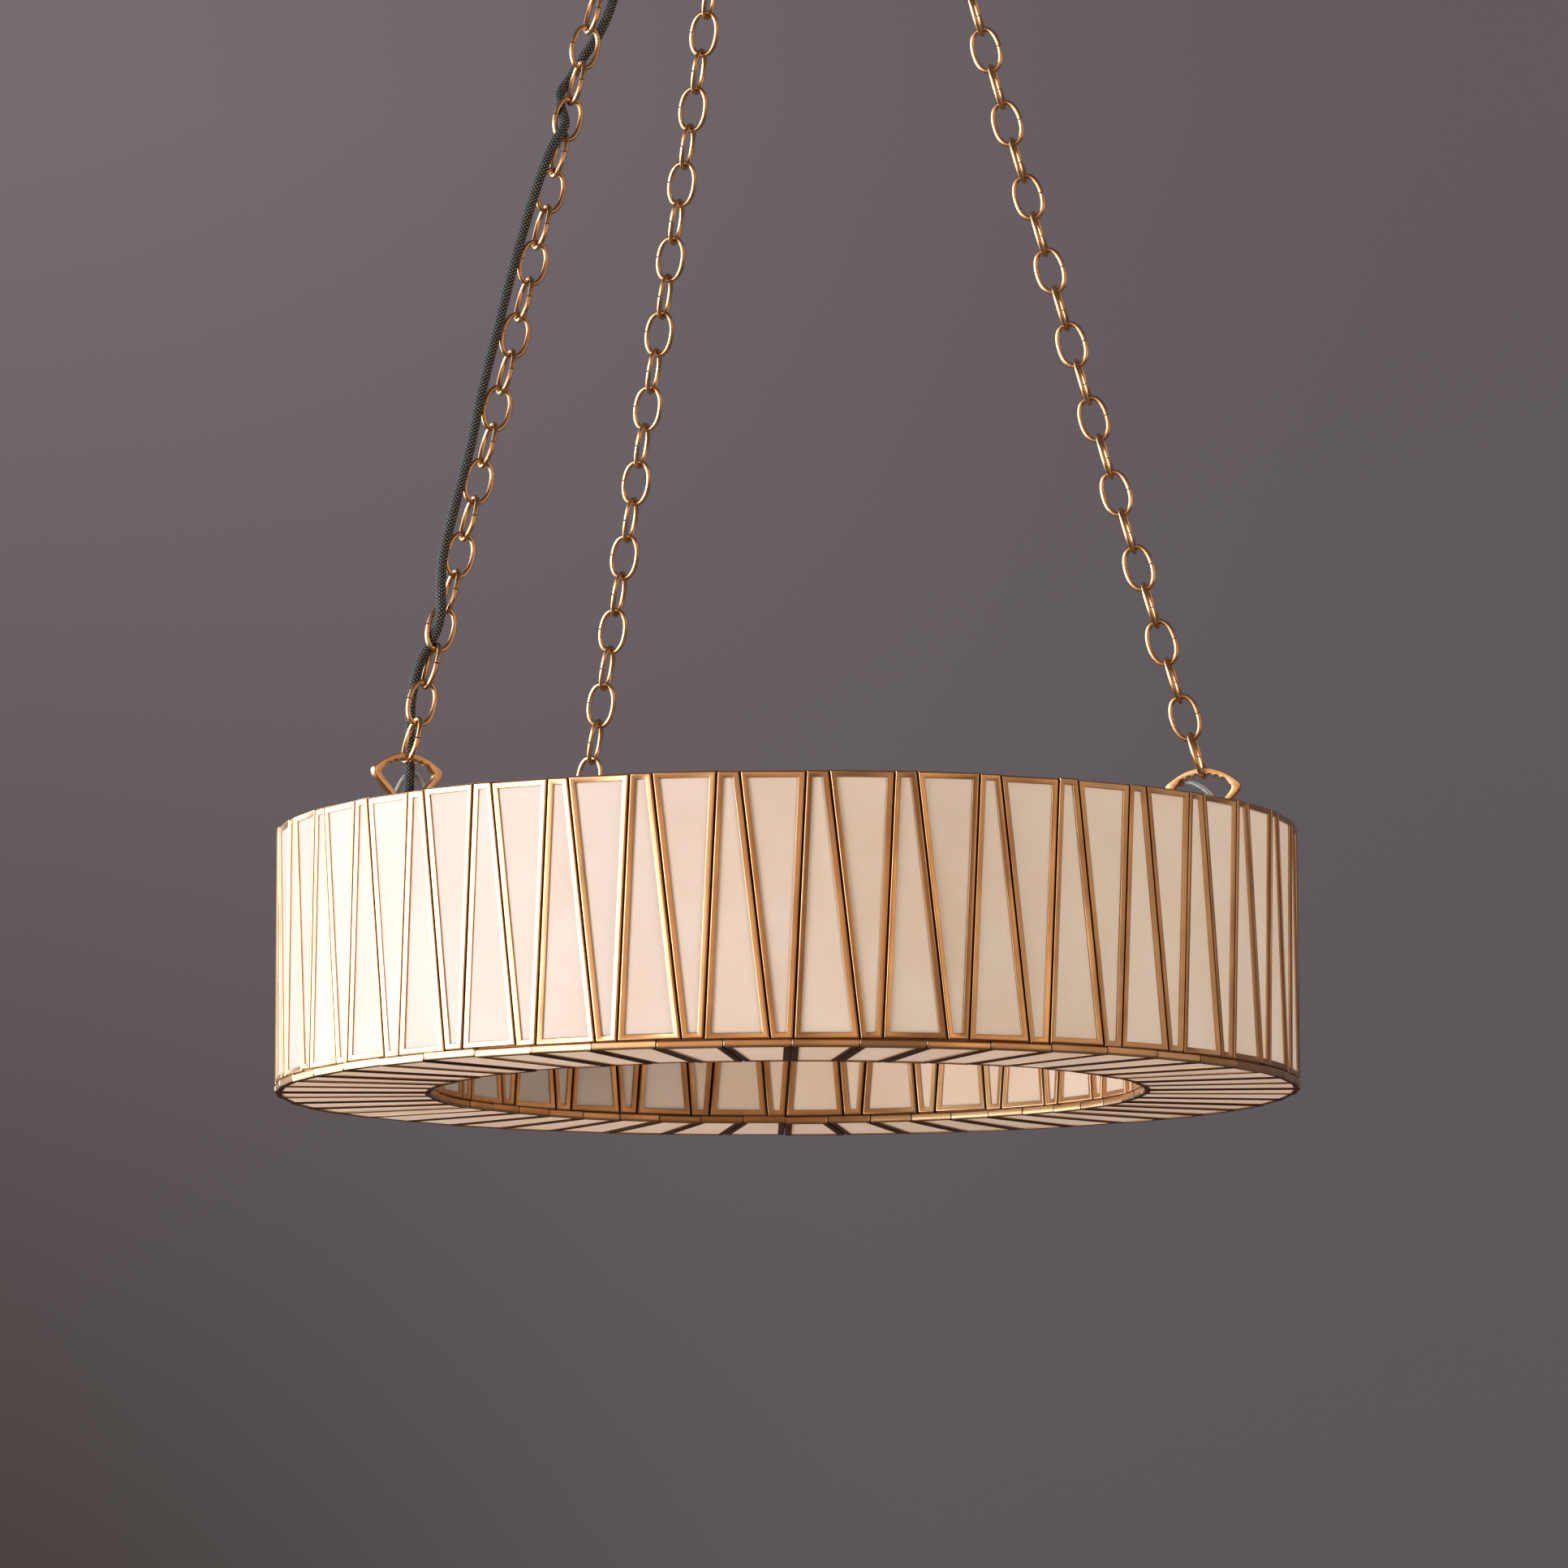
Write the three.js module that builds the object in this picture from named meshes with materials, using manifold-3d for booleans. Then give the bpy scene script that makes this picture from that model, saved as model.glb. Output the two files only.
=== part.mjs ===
// Ring chandelier: a drum of milk glass panes in brass came, hung by three link chains.
// Millimetres, +Z up. The origin is on the ceiling face, over the middle of the ring.
// The photographed side faces -Y. Angles are in degrees from there, positive towards +X.
import * as THREE from "three";
import { mergeVertices } from "three/addons/utils/BufferGeometryUtils.js";
import Module from "manifold-3d";

const wasm = await Module();
wasm.setup();

// Fits shared by all pieces
const fit_gap = 0.3; // clearance between touching pieces
const turn_gap = 0.6; // clearance round a thread or a stud
const cut_overrun = 2; // how far a cutter or a joined stub runs past a face
const merge_gap = 1e-3; // vertices closer than this are one

// Ring of panes
const ring_r = 381; // outer face of the outer came
const ring_width = 116; // from there to the face of the inner came, round the open middle
const ring_height = 195;
const glass_thick = 3;
const came_thick = 1.6;
const came_face = 5; // what shows of one pane's edging
const came_lip = 1.5; // the came's edge stands past the glass by this much
const base_came_thick = 5.5;
const outer_pairs = 38; // a narrow-top pane and a wide-top pane make a pair
const inner_pairs = 28;
const base_panes = 50;
const outer_narrow_share = 0.256; // narrow end of a pane over the width of a pair
const inner_narrow_share = 0.24;
const outer_phase_deg = 3.3; // middle of the narrow-top pane nearest the photographed side
const inner_phase_deg = 175.5;
const base_phase_deg = 0.4;
const wall_lean_deg = 0.86; // the bottom edge is turned by this against the top edge
const outer_glass_parts = 4;
const inner_glass_parts = 2;
const base_glass_parts = 3;

// Flat frame inside the top of the ring, which carries hangers and lamps
const frame_drop = 21; // from the rim down to the frame's top face
const frame_thick = 3;
const hoop_width = 12;
const hoop_sides = 48;
const hanger_bar_width = 14;
const lamp_bar_width = 20;
const entry_bar_width = 42;
const entry_bar_turn_deg = -1.7; // the wide bar carries the left hanger and the junction block
const window_step_deg = 11; // the windows' arcs have a corner about this often

// Hangers
const hanger_left_deg = -58.8;
const hanger_right_deg = 71.8;
const hanger_back_deg = -150;
const hanger_apex_rise = 38; // above the rim
const hanger_half_width = 29;
const hanger_arc_drop = 14; // from the apex to the tips
const hanger_arc_shares = [0.35, 0.7, 0.93]; // corners of the arc, over the half width
const hanger_tip_drop = 2.2; // the tip's widest point under the arc's end
const hanger_shoulder_drop = 6.8;
const hanger_shoulder_in = 1.1;
const hanger_band = 4.5;
const hanger_thick = 6;
const hanger_boss_half = 7;
const hanger_boss_rise = 7; // straight part above the frame
const notch_count = 7;
const notch_pitch = 5.6;
const notch_depth = 1.6;
const notch_seat_half = 1.9; // flat of the middle notch, where the chain pulls
const hanger_foot_half = 2.3; // half width of the opening at its lowest
const hanger_stud_d = 6;
const hanger_stud_length = 13;
const hanger_nut_r = 6.35;
const hanger_nut_thick = 5;

// Chains of oval links
const link_count = 28;
const link_wire_d = 3;
const link_length = 31.8; // between wire centres
const link_width = 20;
const link_end_width = 8;
const link_side_length = 16;
const link_lean_share = 1.3; // the end links lean, so their wire reaches this much further up
const link_bite = 0.2; // neighbouring links press into each other by this much
const chain_sag = 4;

// Hub plate, where the chains meet
const hub_eye_r = 102;
const hub_turn_deg = -11.3; // the plate is turned against the ring
const hub_plate_r = 112;
const hub_hole_r = 7; // bushed hole for the flex, beside the left eye
const hub_hole_out = 62; // from the plate's middle
const hub_hole_deg = -79.8;
const hub_plate_thick = 3;
const hub_rim_depth = 8;
const hub_edge = 1.5;
const eye_ring_r = 7;
const eye_wire_d = 4;
const eye_neck = 3;
const eye_stud_d = 5;
const eye_stud_above = 7;
const eye_nut_r = 5.5;
const hub_nut_thick = 5;
const hub_nut_r = 9;
const hub_stud_d = 8;
const hub_stud_below = 11;
const hub_shoulder_r = 8;
const hub_neck = 5.6; // between the hub loop's ring and the plate

// Ceiling fitting
const bar_length = 112;
const bar_width = 20;
const bar_thick = 3;
const screw_spacing = 70;
const screw_d = 4;
const screw_head_d = 8;
const screw_head_thick = 3;
const stem_d = 10;
const stem_length = 17.7;
const locknut_r = 9;
const locknut_thick = 5;
const canopy_r = 65;
const canopy_depth = 27;
const canopy_wall = 1.2;
const canopy_flat_r = 54;
const canopy_shoulder = 13; // height of the rounded shoulder
const canopy_shoulder_steps = 3;
const collar_body_r = 13; // threaded body of the hanging loop
const collar_body_length = 20;
const collar_r = 18;
const collar_thick = 8;
const loop_ring_r = 10;
const loop_wire_d = 5;
const loop_set_in = 2; // the ring is sunk into its body by this much
const top_link_wire_d = 4;
const top_link_length = 26; // between wire centres
const top_link_width = 20;
const flex_entry_r = 40;
const bushing_bore_r = 10.4; // leaves the flex room to swing
const bushing_wall = 1.6;
const bushing_flange = 2;
const bushing_flange_thick = 1.6;
const terminal_length = 18;
const terminal_width = 14;
const terminal_height = 9;
const terminal_x = -20;

// Flex, wiring and junction
const flex_d = 6.8;
const flex_sides = 8;
const flex_steps = 72;
const harness_d = 3.5;
const harness_sides = 5;
const harness_rings_per_point = 2;
const block_length = 20;
const block_depth = 16;
const block_height = 11.7;
const gland_r = 7.5;
const gland_bore_r = 1.8;
const gland_height = 10.3;
const junction_in = 10.7; // the block stands inwards of the hangers' circle
const junction_turn_deg = -3.1; // and past the left hanger

// Lamps
const lamp_count = 8;
const lamp_first_deg = 5;
const nipple_d = 10;
const nipple_above = 6;
const socket_r = 13.5;
const socket_shoulder_r = 11;
const socket_shoulder = 14;
const socket_length = 42;
const socket_bore_r = 8;
const socket_bore_depth = 26;
const bulb_cap_r = 6.8;
const bulb_cap_length = 24;
const bulb_r = 17.5;
const bulb_length = 100;
// The glass's outline, as shares of its radius and of its length from the cap down
const bulb_outline_shares = [[0.8, 0.15], [1, 0.38], [0.75, 0.68], [0.25, 0.96]];

const brass = new THREE.MeshStandardMaterial({ color: 0xb98a52, metalness: 0.9, roughness: 0.35 });
const dark_brass = new THREE.MeshStandardMaterial({ color: 0x8d6a3f, metalness: 0.9, roughness: 0.45 });
const steel = new THREE.MeshStandardMaterial({ color: 0xa8a8a4, metalness: 0.8, roughness: 0.4 });
const milk_glass = new THREE.MeshStandardMaterial({ color: 0xeee6d8, metalness: 0, roughness: 0.3 });
const bulb_glass = new THREE.MeshStandardMaterial({ color: 0xf6ead0, metalness: 0, roughness: 0.2 });
const porcelain = new THREE.MeshStandardMaterial({ color: 0xe9e6df, metalness: 0, roughness: 0.35 });
const black_plastic = new THREE.MeshStandardMaterial({ color: 0x232220, metalness: 0, roughness: 0.5 });
const white_plastic = new THREE.MeshStandardMaterial({ color: 0xe6e4de, metalness: 0, roughness: 0.5 });
const braid = new THREE.MeshStandardMaterial({ color: 0x4a4a3e, metalness: 0, roughness: 0.9 });

const chandelier = new THREE.Group();

function radians(degrees) {
  return (degrees * Math.PI) / 180;
}

// The point at a radius, an angle from the photographed side and a height.
function around(radius, degrees, z) {
  const turn = radians(degrees);
  return new THREE.Vector3(radius * Math.sin(turn), -radius * Math.cos(turn), z);
}

function add(name, geometry, material) {
  const mesh = new THREE.Mesh(geometry, material);
  mesh.name = name;
  chandelier.add(mesh);
  return mesh;
}

// A closed surface from its faces, turned to face out whichever way round they were listed.
function closedSurface(faces) {
  const corners = [];
  for (const face of faces) {
    for (let i = 2; i < face.length; i++) corners.push(face[0], face[i - 1], face[i]);
  }
  let volume = 0;
  for (let i = 0; i < corners.length; i += 3) {
    volume += corners[i].dot(corners[i + 1].clone().cross(corners[i + 2]));
  }
  if (volume < 0) corners.reverse();
  const geometry = new THREE.BufferGeometry().setFromPoints(corners);
  geometry.computeVertexNormals();
  return geometry;
}

function triangles(geometry) {
  const place = (geometry.index ? geometry.toNonIndexed() : geometry).attributes.position;
  const faces = [];
  for (let i = 0; i < place.count; i += 3) {
    faces.push([0, 1, 2].map((k) => new THREE.Vector3().fromBufferAttribute(place, i + k)));
  }
  return faces;
}

// A profile of [radius, height] points turned about the vertical axis.
function turned(profile, sides) {
  const points = profile.map(([radius, z]) => new THREE.Vector2(radius, z));
  const lathe = new THREE.LatheGeometry(points, sides).rotateX(Math.PI / 2);
  return closedSurface(triangles(lathe));
}

// A turned tube or disc between two heights; inner radius 0 makes it solid.
function disc(outer, inner, low, high, sides) {
  const side = [[outer, low], [outer, high]];
  if (inner > 0) return turned([...side, [inner, high], [inner, low], [outer, low]], sides);
  return turned([[0, low], ...side, [0, high]], sides);
}

// A flat plate with its lower face at height 0. The outline may run either way round.
function plate(outline, holes, thick) {
  const clockwise = THREE.ShapeUtils.isClockWise(outline);
  const shape = new THREE.Shape(clockwise ? [...outline].reverse() : outline);
  shape.holes = holes.map((points) => new THREE.Path(points));
  return new THREE.ExtrudeGeometry(shape, { depth: thick, bevelEnabled: false });
}

function circle(radius, sides, centre = new THREE.Vector2()) {
  const points = [];
  for (let i = 0; i < sides; i++) {
    const turn = (2 * Math.PI * i) / sides;
    points.push(new THREE.Vector2(radius * Math.cos(turn), radius * Math.sin(turn)).add(centre));
  }
  return points;
}

// A hole whose flats, not its corners, are at the radius asked for.
function roundHole(radius, sides, centre) {
  return circle(radius / Math.cos(Math.PI / sides), sides, centre);
}

// A nut: a hexagon with a round hole, between two heights.
function nut(corner_r, hole_r, low, high) {
  return plate(circle(corner_r, 6), [roundHole(hole_r, 10)], high - low).translate(0, 0, low);
}

function solid(geometry) {
  const bare = geometry.index ? geometry.toNonIndexed() : geometry.clone();
  bare.deleteAttribute("normal");
  bare.deleteAttribute("uv");
  const merged = mergeVertices(bare, merge_gap);
  return new wasm.Manifold(
    new wasm.Mesh({
      numProp: 3,
      vertProperties: merged.attributes.position.array,
      triVerts: new Uint32Array(merged.index.array),
    }),
  );
}

function surface(made) {
  const mesh = made.getMesh();
  const geometry = new THREE.BufferGeometry();
  geometry.setAttribute("position", new THREE.BufferAttribute(mesh.vertProperties, 3));
  geometry.setIndex(new THREE.BufferAttribute(mesh.triVerts, 1));
  geometry.computeVertexNormals();
  return geometry;
}

function joined(...pieces) {
  return surface(pieces.map(solid).reduce((whole, piece) => whole.add(piece)));
}

function cut(piece, ...cutters) {
  return surface(cutters.map(solid).reduce((whole, cutter) => whole.subtract(cutter), solid(piece)));
}

// A ring of round wire standing in the XZ plane.
function standingRing(radius, wire_d, z) {
  return new THREE.TorusGeometry(radius, wire_d / 2, 6, 12).rotateX(Math.PI / 2).translate(0, 0, z);
}

// A thin wire along a smooth curve through the points.
function wire(points, diameter, sides, rings_per_point) {
  const curve = new THREE.CatmullRomCurve3(points);
  const stations = curve.getPoints((points.length - 1) * rings_per_point);
  const last = stations.length - 1;
  const aside = new THREE.Vector3(1, 0, 0);
  const rings = stations.map((station, i) => {
    const along = stations[Math.min(i + 1, last)].clone().sub(stations[Math.max(i - 1, 0)]);
    along.normalize();
    aside.addScaledVector(along, -aside.dot(along)).normalize();
    const across = along.clone().cross(aside);
    return circle(diameter / 2, sides).map(({ x, y }) =>
      station.clone().addScaledVector(aside, x).addScaledVector(across, y),
    );
  });
  const faces = [[...rings[0]].reverse(), rings[last]];
  for (let i = 0; i < last; i++) {
    for (let k = 0; k < sides; k++) {
      const beside = (k + 1) % sides;
      faces.push([rings[i][k], rings[i][beside], rings[i + 1][beside], rings[i + 1][k]]);
    }
  }
  return closedSurface(faces);
}

// Square bar bent round a flat closed outline; it stands for round wire of the same section area.
function bentWire(outline, flat_normal, half) {
  const count = outline.length;
  const rings = outline.map((corner, i) => {
    const before = corner.clone().sub(outline[(i + count - 1) % count]).normalize();
    const after = outline[(i + 1) % count].clone().sub(corner).normalize();
    const along = before.clone().add(after).normalize();
    const across = along.clone().cross(flat_normal).normalize();
    across.multiplyScalar(half / along.dot(after));
    const side = flat_normal.clone().multiplyScalar(half);
    return [
      corner.clone().add(across).add(side),
      corner.clone().sub(across).add(side),
      corner.clone().sub(across).sub(side),
      corner.clone().add(across).sub(side),
    ];
  });
  const faces = [];
  for (let i = 0; i < count; i++) {
    const here = rings[i];
    const next = rings[(i + 1) % count];
    for (let k = 0; k < 4; k++) faces.push([here[k], next[k], next[(k + 1) % 4], here[(k + 1) % 4]]);
  }
  return closedSurface(faces);
}

// The corners of a flat four-sided pane moved inwards, each edge by its own inset.
function insetCorners(corners, insets) {
  return corners.map((corner, i) => {
    const next = corners[(i + 1) % 4].clone().sub(corner).normalize();
    const last = corners[(i + 3) % 4].clone().sub(corner).normalize();
    const spread = next.clone().cross(last).length();
    const moved = corner.clone();
    moved.addScaledVector(next, insets[(i + 3) % 4] / spread);
    return moved.addScaledVector(last, insets[i] / spread);
  });
}

// One body of came strips round a row of panes. Each pane has four front and four back corners,
// and shares its first and third edge with its neighbours.
function cameLattice(panes) {
  const insets = [came_face, came_face, came_face, came_face];
  const faces = [];
  for (const { front, back } of panes) {
    const front_hole = insetCorners(front, insets);
    const back_hole = insetCorners(back, insets);
    for (let i = 0; i < 4; i++) {
      const j = (i + 1) % 4;
      faces.push([front[i], front[j], front_hole[j], front_hole[i]]);
      faces.push([back[i], back_hole[i], back_hole[j], back[j]]);
      faces.push([front_hole[i], front_hole[j], back_hole[j], back_hole[i]]);
    }
    faces.push([front[2], front[1], back[1], back[2]]);
    faces.push([front[0], front[3], back[3], back[0]]);
  }
  return closedSurface(faces);
}

// The seams between a wall's panes, as angles at its top and bottom edge.
function wallSeams(pairs, narrow_share, phase_deg, lean_deg) {
  const pitch = 360 / pairs;
  const seams = [];
  for (let i = 0; i < pairs; i++) {
    for (const side of [-1, 1]) {
      const centre = phase_deg + i * pitch;
      seams.push({
        top: centre + (side * narrow_share * pitch) / 2,
        bottom: centre + lean_deg + (side * (1 - narrow_share) * pitch) / 2,
      });
    }
  }
  return seams;
}

function wallCame(seams, front_r, back_r, top_z, bottom_z) {
  const edge = (radius, seam, next) => [
    around(radius, seam.top, top_z),
    around(radius, seam.bottom, bottom_z),
    around(radius, next.bottom, bottom_z),
    around(radius, next.top, top_z),
  ];
  return cameLattice(
    seams.map((seam, i) => {
      const wrap = i + 1 === seams.length ? 360 : 0;
      const next = seams[(i + 1) % seams.length];
      const beside = { top: next.top + wrap, bottom: next.bottom + wrap };
      return { front: edge(front_r, seam, beside), back: edge(back_r, seam, beside) };
    }),
  );
}

// A run of flat glass panes between two surfaces, given as rows of corners with the same count.
function glassRun(front_top, front_low, back_top, back_low) {
  const faces = [];
  const last = front_top.length - 1;
  for (let i = 0; i < last; i++) {
    faces.push([front_top[i], front_low[i], front_low[i + 1], front_top[i + 1]]);
    faces.push([back_top[i], back_top[i + 1], back_low[i + 1], back_low[i]]);
    faces.push([front_top[i], front_top[i + 1], back_top[i + 1], back_top[i]]);
    faces.push([front_low[i + 1], front_low[i], back_low[i], back_low[i + 1]]);
  }
  faces.push([front_top[0], back_top[0], back_low[0], front_low[0]]);
  faces.push([front_top[last], front_low[last], back_low[last], back_top[last]]);
  return closedSurface(faces);
}

// The glass behind one stretch of a wall, between two of its seams.
function wallGlass(seams, first, last, front_r, back_r, wall) {
  const high = wall.top - came_lip;
  const low = wall.bottom + came_lip;
  const fall = wall.top - wall.bottom;
  const row = (radius, z) => {
    const points = [];
    for (let i = first; i <= last; i++) {
      const seam = seams[i % seams.length];
      const wrap = i >= seams.length ? 360 : 0;
      let turn = seam.top + ((seam.bottom - seam.top) * (wall.top - z)) / fall + wrap;
      const end_gap = THREE.MathUtils.radToDeg(fit_gap / 2 / well_r);
      if (i === first) turn += end_gap;
      if (i === last) turn -= end_gap;
      points.push(around(radius, turn, z));
    }
    return points;
  };
  return glassRun(row(front_r, high), row(front_r, low), row(back_r, high), row(back_r, low));
}

// Places round the ring
const well_r = ring_r - ring_width;
const hanger_r = ring_r - ring_width / 2; // hangers and lamps stand midway between the walls
const hanger_deg = { left: hanger_left_deg, right: hanger_right_deg, back: hanger_back_deg };
const hub_hole = flat(around(hub_hole_out, hub_hole_deg, 0));
const junction_place = around(hanger_r - junction_in, hanger_left_deg + junction_turn_deg, 0);

// Heights, worked out from the ceiling downwards
const canopy_low = -canopy_depth;
const collar_high = canopy_low - fit_gap;
const body_high = -stem_length - fit_gap;
const body_low = body_high - collar_body_length;
const loop_z = body_low + loop_set_in - loop_ring_r;
const sway_fore_z = loop_z - loop_ring_r; // the top link rocks on the loop's lowest wire
const top_link_high = sway_fore_z + loop_wire_d / 2 + fit_gap + top_link_wire_d / 2;
const sway_side_z = top_link_high - top_link_length; // the hub loop rocks on the link's lowest wire
const hub_ring_high = sway_side_z + top_link_wire_d / 2 + fit_gap + loop_wire_d / 2;
const hub_ring_z = hub_ring_high - loop_ring_r;
const hub_plate_high = hub_ring_z - loop_ring_r - hub_neck;
const hub_plate_low = hub_plate_high - hub_plate_thick;
const eye_ring_z = hub_plate_low - eye_neck - eye_wire_d / 2 - eye_ring_r;
const link_half = (link_wire_d * Math.sqrt(Math.PI)) / 4;
const chain_high = eye_ring_z - eye_ring_r + eye_wire_d / 2 + link_half + fit_gap;
const link_step = link_length - 2 * link_half + link_bite;
const chain_run = (link_count - 1) * link_step + link_length;
const chain_lean = around(hanger_r, 0, 0).distanceTo(around(hub_eye_r, hub_turn_deg, 0));
const chain_low = chain_high - Math.sqrt(chain_run ** 2 - chain_lean ** 2);
const link_seat = link_lean_share * link_half;
const rim_z = chain_low + link_seat + fit_gap - (hanger_apex_rise - hanger_band);
const base_z = rim_z - ring_height;
const wall = { top: rim_z, bottom: base_z + base_came_thick + fit_gap };
const frame_high = rim_z - frame_drop;
const frame_low = frame_high - frame_thick;

function ceilingBar() {
  const half = bar_length / 2;
  const end = bar_width / 2;
  const outline = [
    new THREE.Vector2(-half, -end), new THREE.Vector2(half, -end),
    new THREE.Vector2(half, end), new THREE.Vector2(-half, end),
  ];
  const screw_hole = screw_d / 2 + fit_gap;
  const holes = [roundHole(stem_d / 2 + fit_gap, 12)];
  for (const side of [-1, 1]) {
    holes.push(roundHole(screw_hole, 8, new THREE.Vector2((side * screw_spacing) / 2, 0)));
  }
  add("ceiling_crossbar", plate(outline, holes, bar_thick).translate(0, 0, -bar_thick), steel);
  for (const [name, side] of [["left", -1], ["right", 1]]) {
    const head_high = -bar_thick - fit_gap;
    const shank = disc(screw_d / 2, 0, head_high - cut_overrun / 2, 0, 8);
    const head = disc(screw_head_d / 2, 0, head_high - screw_head_thick, head_high, 8);
    const screw = joined(shank, head).translate((side * screw_spacing) / 2, 0, 0);
    add("box_screw_" + name, screw, steel);
  }
}

function stem() {
  add("hanger_stem", disc(stem_d / 2, 0, -stem_length, 0, 12), steel);
  const nut_high = -bar_thick - fit_gap;
  const hole = stem_d / 2 + fit_gap;
  add("stem_locknut", nut(locknut_r, hole, nut_high - locknut_thick, nut_high), steel);
}

function terminal() {
  const block = new THREE.BoxGeometry(terminal_width, terminal_length, terminal_height);
  const high = -bar_thick - fit_gap;
  add("terminal_block", block.translate(terminal_x, 0, high - terminal_height / 2), white_plastic);
}

// The rounded shoulder between a flat underside and an upright side, as [radius, height] points.
function shoulderArc(flat_r, side_r, low, high) {
  const points = [];
  for (let i = 0; i <= canopy_shoulder_steps; i++) {
    const turn = (i * Math.PI) / 2 / canopy_shoulder_steps;
    const radius = flat_r + (side_r - flat_r) * Math.sin(turn);
    points.push([radius, high - (high - low) * Math.cos(turn)]);
  }
  return points;
}

// Spun pan with a rounded shoulder, a hole for the threaded body and one for the flex.
function canopy() {
  const bore = collar_body_r + fit_gap;
  const inside_low = canopy_low + canopy_wall;
  const shoulder_high = canopy_low + canopy_shoulder;
  const outside = shoulderArc(canopy_flat_r, canopy_r, canopy_low, shoulder_high);
  const inside = shoulderArc(
    canopy_flat_r - canopy_wall, canopy_r - canopy_wall, inside_low, shoulder_high,
  ).reverse();
  const rim = [[canopy_r, -fit_gap], [canopy_r - canopy_wall, -fit_gap]];
  const profile = [[bore, canopy_low], ...outside, ...rim, ...inside, [bore, inside_low]];
  profile.push([bore, canopy_low]);
  const pan = turned(profile, 24);
  const hole_r = bushing_bore_r + bushing_wall + fit_gap;
  const entry = disc(hole_r, 0, canopy_low - cut_overrun, canopy_low + cut_overrun, 16);
  add("canopy", cut(pan, entry.translate(-flex_entry_r, 0, 0)), brass);
  const sleeve_r = bushing_bore_r + bushing_wall;
  const flange = sleeve_r + bushing_flange;
  const flange_high = canopy_low - fit_gap;
  const flange_low = flange_high - bushing_flange_thick;
  const sleeve_high = inside_low + fit_gap;
  const bushing = turned(
    [
      [bushing_bore_r, flange_low], [flange, flange_low], [flange, flange_high],
      [sleeve_r, flange_high], [sleeve_r, sleeve_high], [bushing_bore_r, sleeve_high],
      [bushing_bore_r, flange_low],
    ],
    14,
  );
  add("canopy_bushing", bushing.translate(-flex_entry_r, 0, 0), black_plastic);
  const collar_bore = collar_body_r + fit_gap;
  add("canopy_collar", disc(collar_r, collar_bore, collar_high - collar_thick, collar_high, 20), brass);
}

function hangingLoops() {
  const body = disc(collar_body_r, 0, body_low, body_high, 20);
  const ring = standingRing(loop_ring_r, loop_wire_d, loop_z);
  add("canopy_loop", joined(body, ring), brass);

  const half = top_link_length / 2;
  const side = top_link_width / 2;
  const middle = top_link_high - half;
  const outline = [
    [side / 2, half], [side, half / 2], [side, -half / 2], [side / 2, -half],
    [-side / 2, -half], [-side, -half / 2], [-side, half / 2], [-side / 2, half],
  ].map(([y, z]) => new THREE.Vector3(0, y, middle + z));
  const bar_half = (top_link_wire_d * Math.sqrt(Math.PI)) / 4;
  add("suspension_link", bentWire(outline, new THREE.Vector3(1, 0, 0), bar_half), brass);

  const hub_ring = standingRing(loop_ring_r, loop_wire_d, hub_ring_z);
  const shoulder_high = hub_ring_z - loop_ring_r;
  const shoulder = disc(hub_shoulder_r, 0, hub_plate_high + fit_gap, shoulder_high, 12);
  const stud = disc(hub_stud_d / 2, 0, hub_plate_low - hub_stud_below, shoulder_high, 12);
  add("hub_loop", joined(hub_ring, shoulder, stud), brass);
  const nut_high = hub_plate_low - fit_gap;
  const nut_hole = hub_stud_d / 2 + fit_gap;
  add("hub_loop_nut", nut(hub_nut_r, nut_hole, nut_high - hub_nut_thick, nut_high), brass);
}

// The flex, from the cord grip up the left chain, through the hub plate and into the canopy.
const flex_route = [
  [-275.5, -147, -939], [-275.5, -147, -929], [-275, -147, -911], [-274.5, -147.5, -894],
  [-274.5, -148, -877], [-274, -149.5, -860], [-270, -151, -841], [-264, -149, -824],
  [-256, -152, -810], [-252, -157, -796], [-252, -155, -780], [-251, -151, -756],
  [-243, -144, -718], [-232, -136, -673], [-223, -127, -626], [-212, -118, -579],
  [-202, -111, -536], [-191, -106, -495], [-181, -102, -462], [-172, -97, -438],
  [-163, -89, -419], [-166, -78, -404], [-167, -69, -392], [-159, -62, -378],
  [-149, -60, -361], [-138, -59, -344], [-129, -56, -322], [-119, -51, -283],
  [-107, -44, -234], [-94, -36, -185], [-79, -24, -147], [-66, -14, -124],
  [-62, -12, -104], [-56, -8, -84], [-46, -2, -62], [-40, 0, -42],
  [-40, 0, -26], [-40, 0, -12],
];

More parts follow.
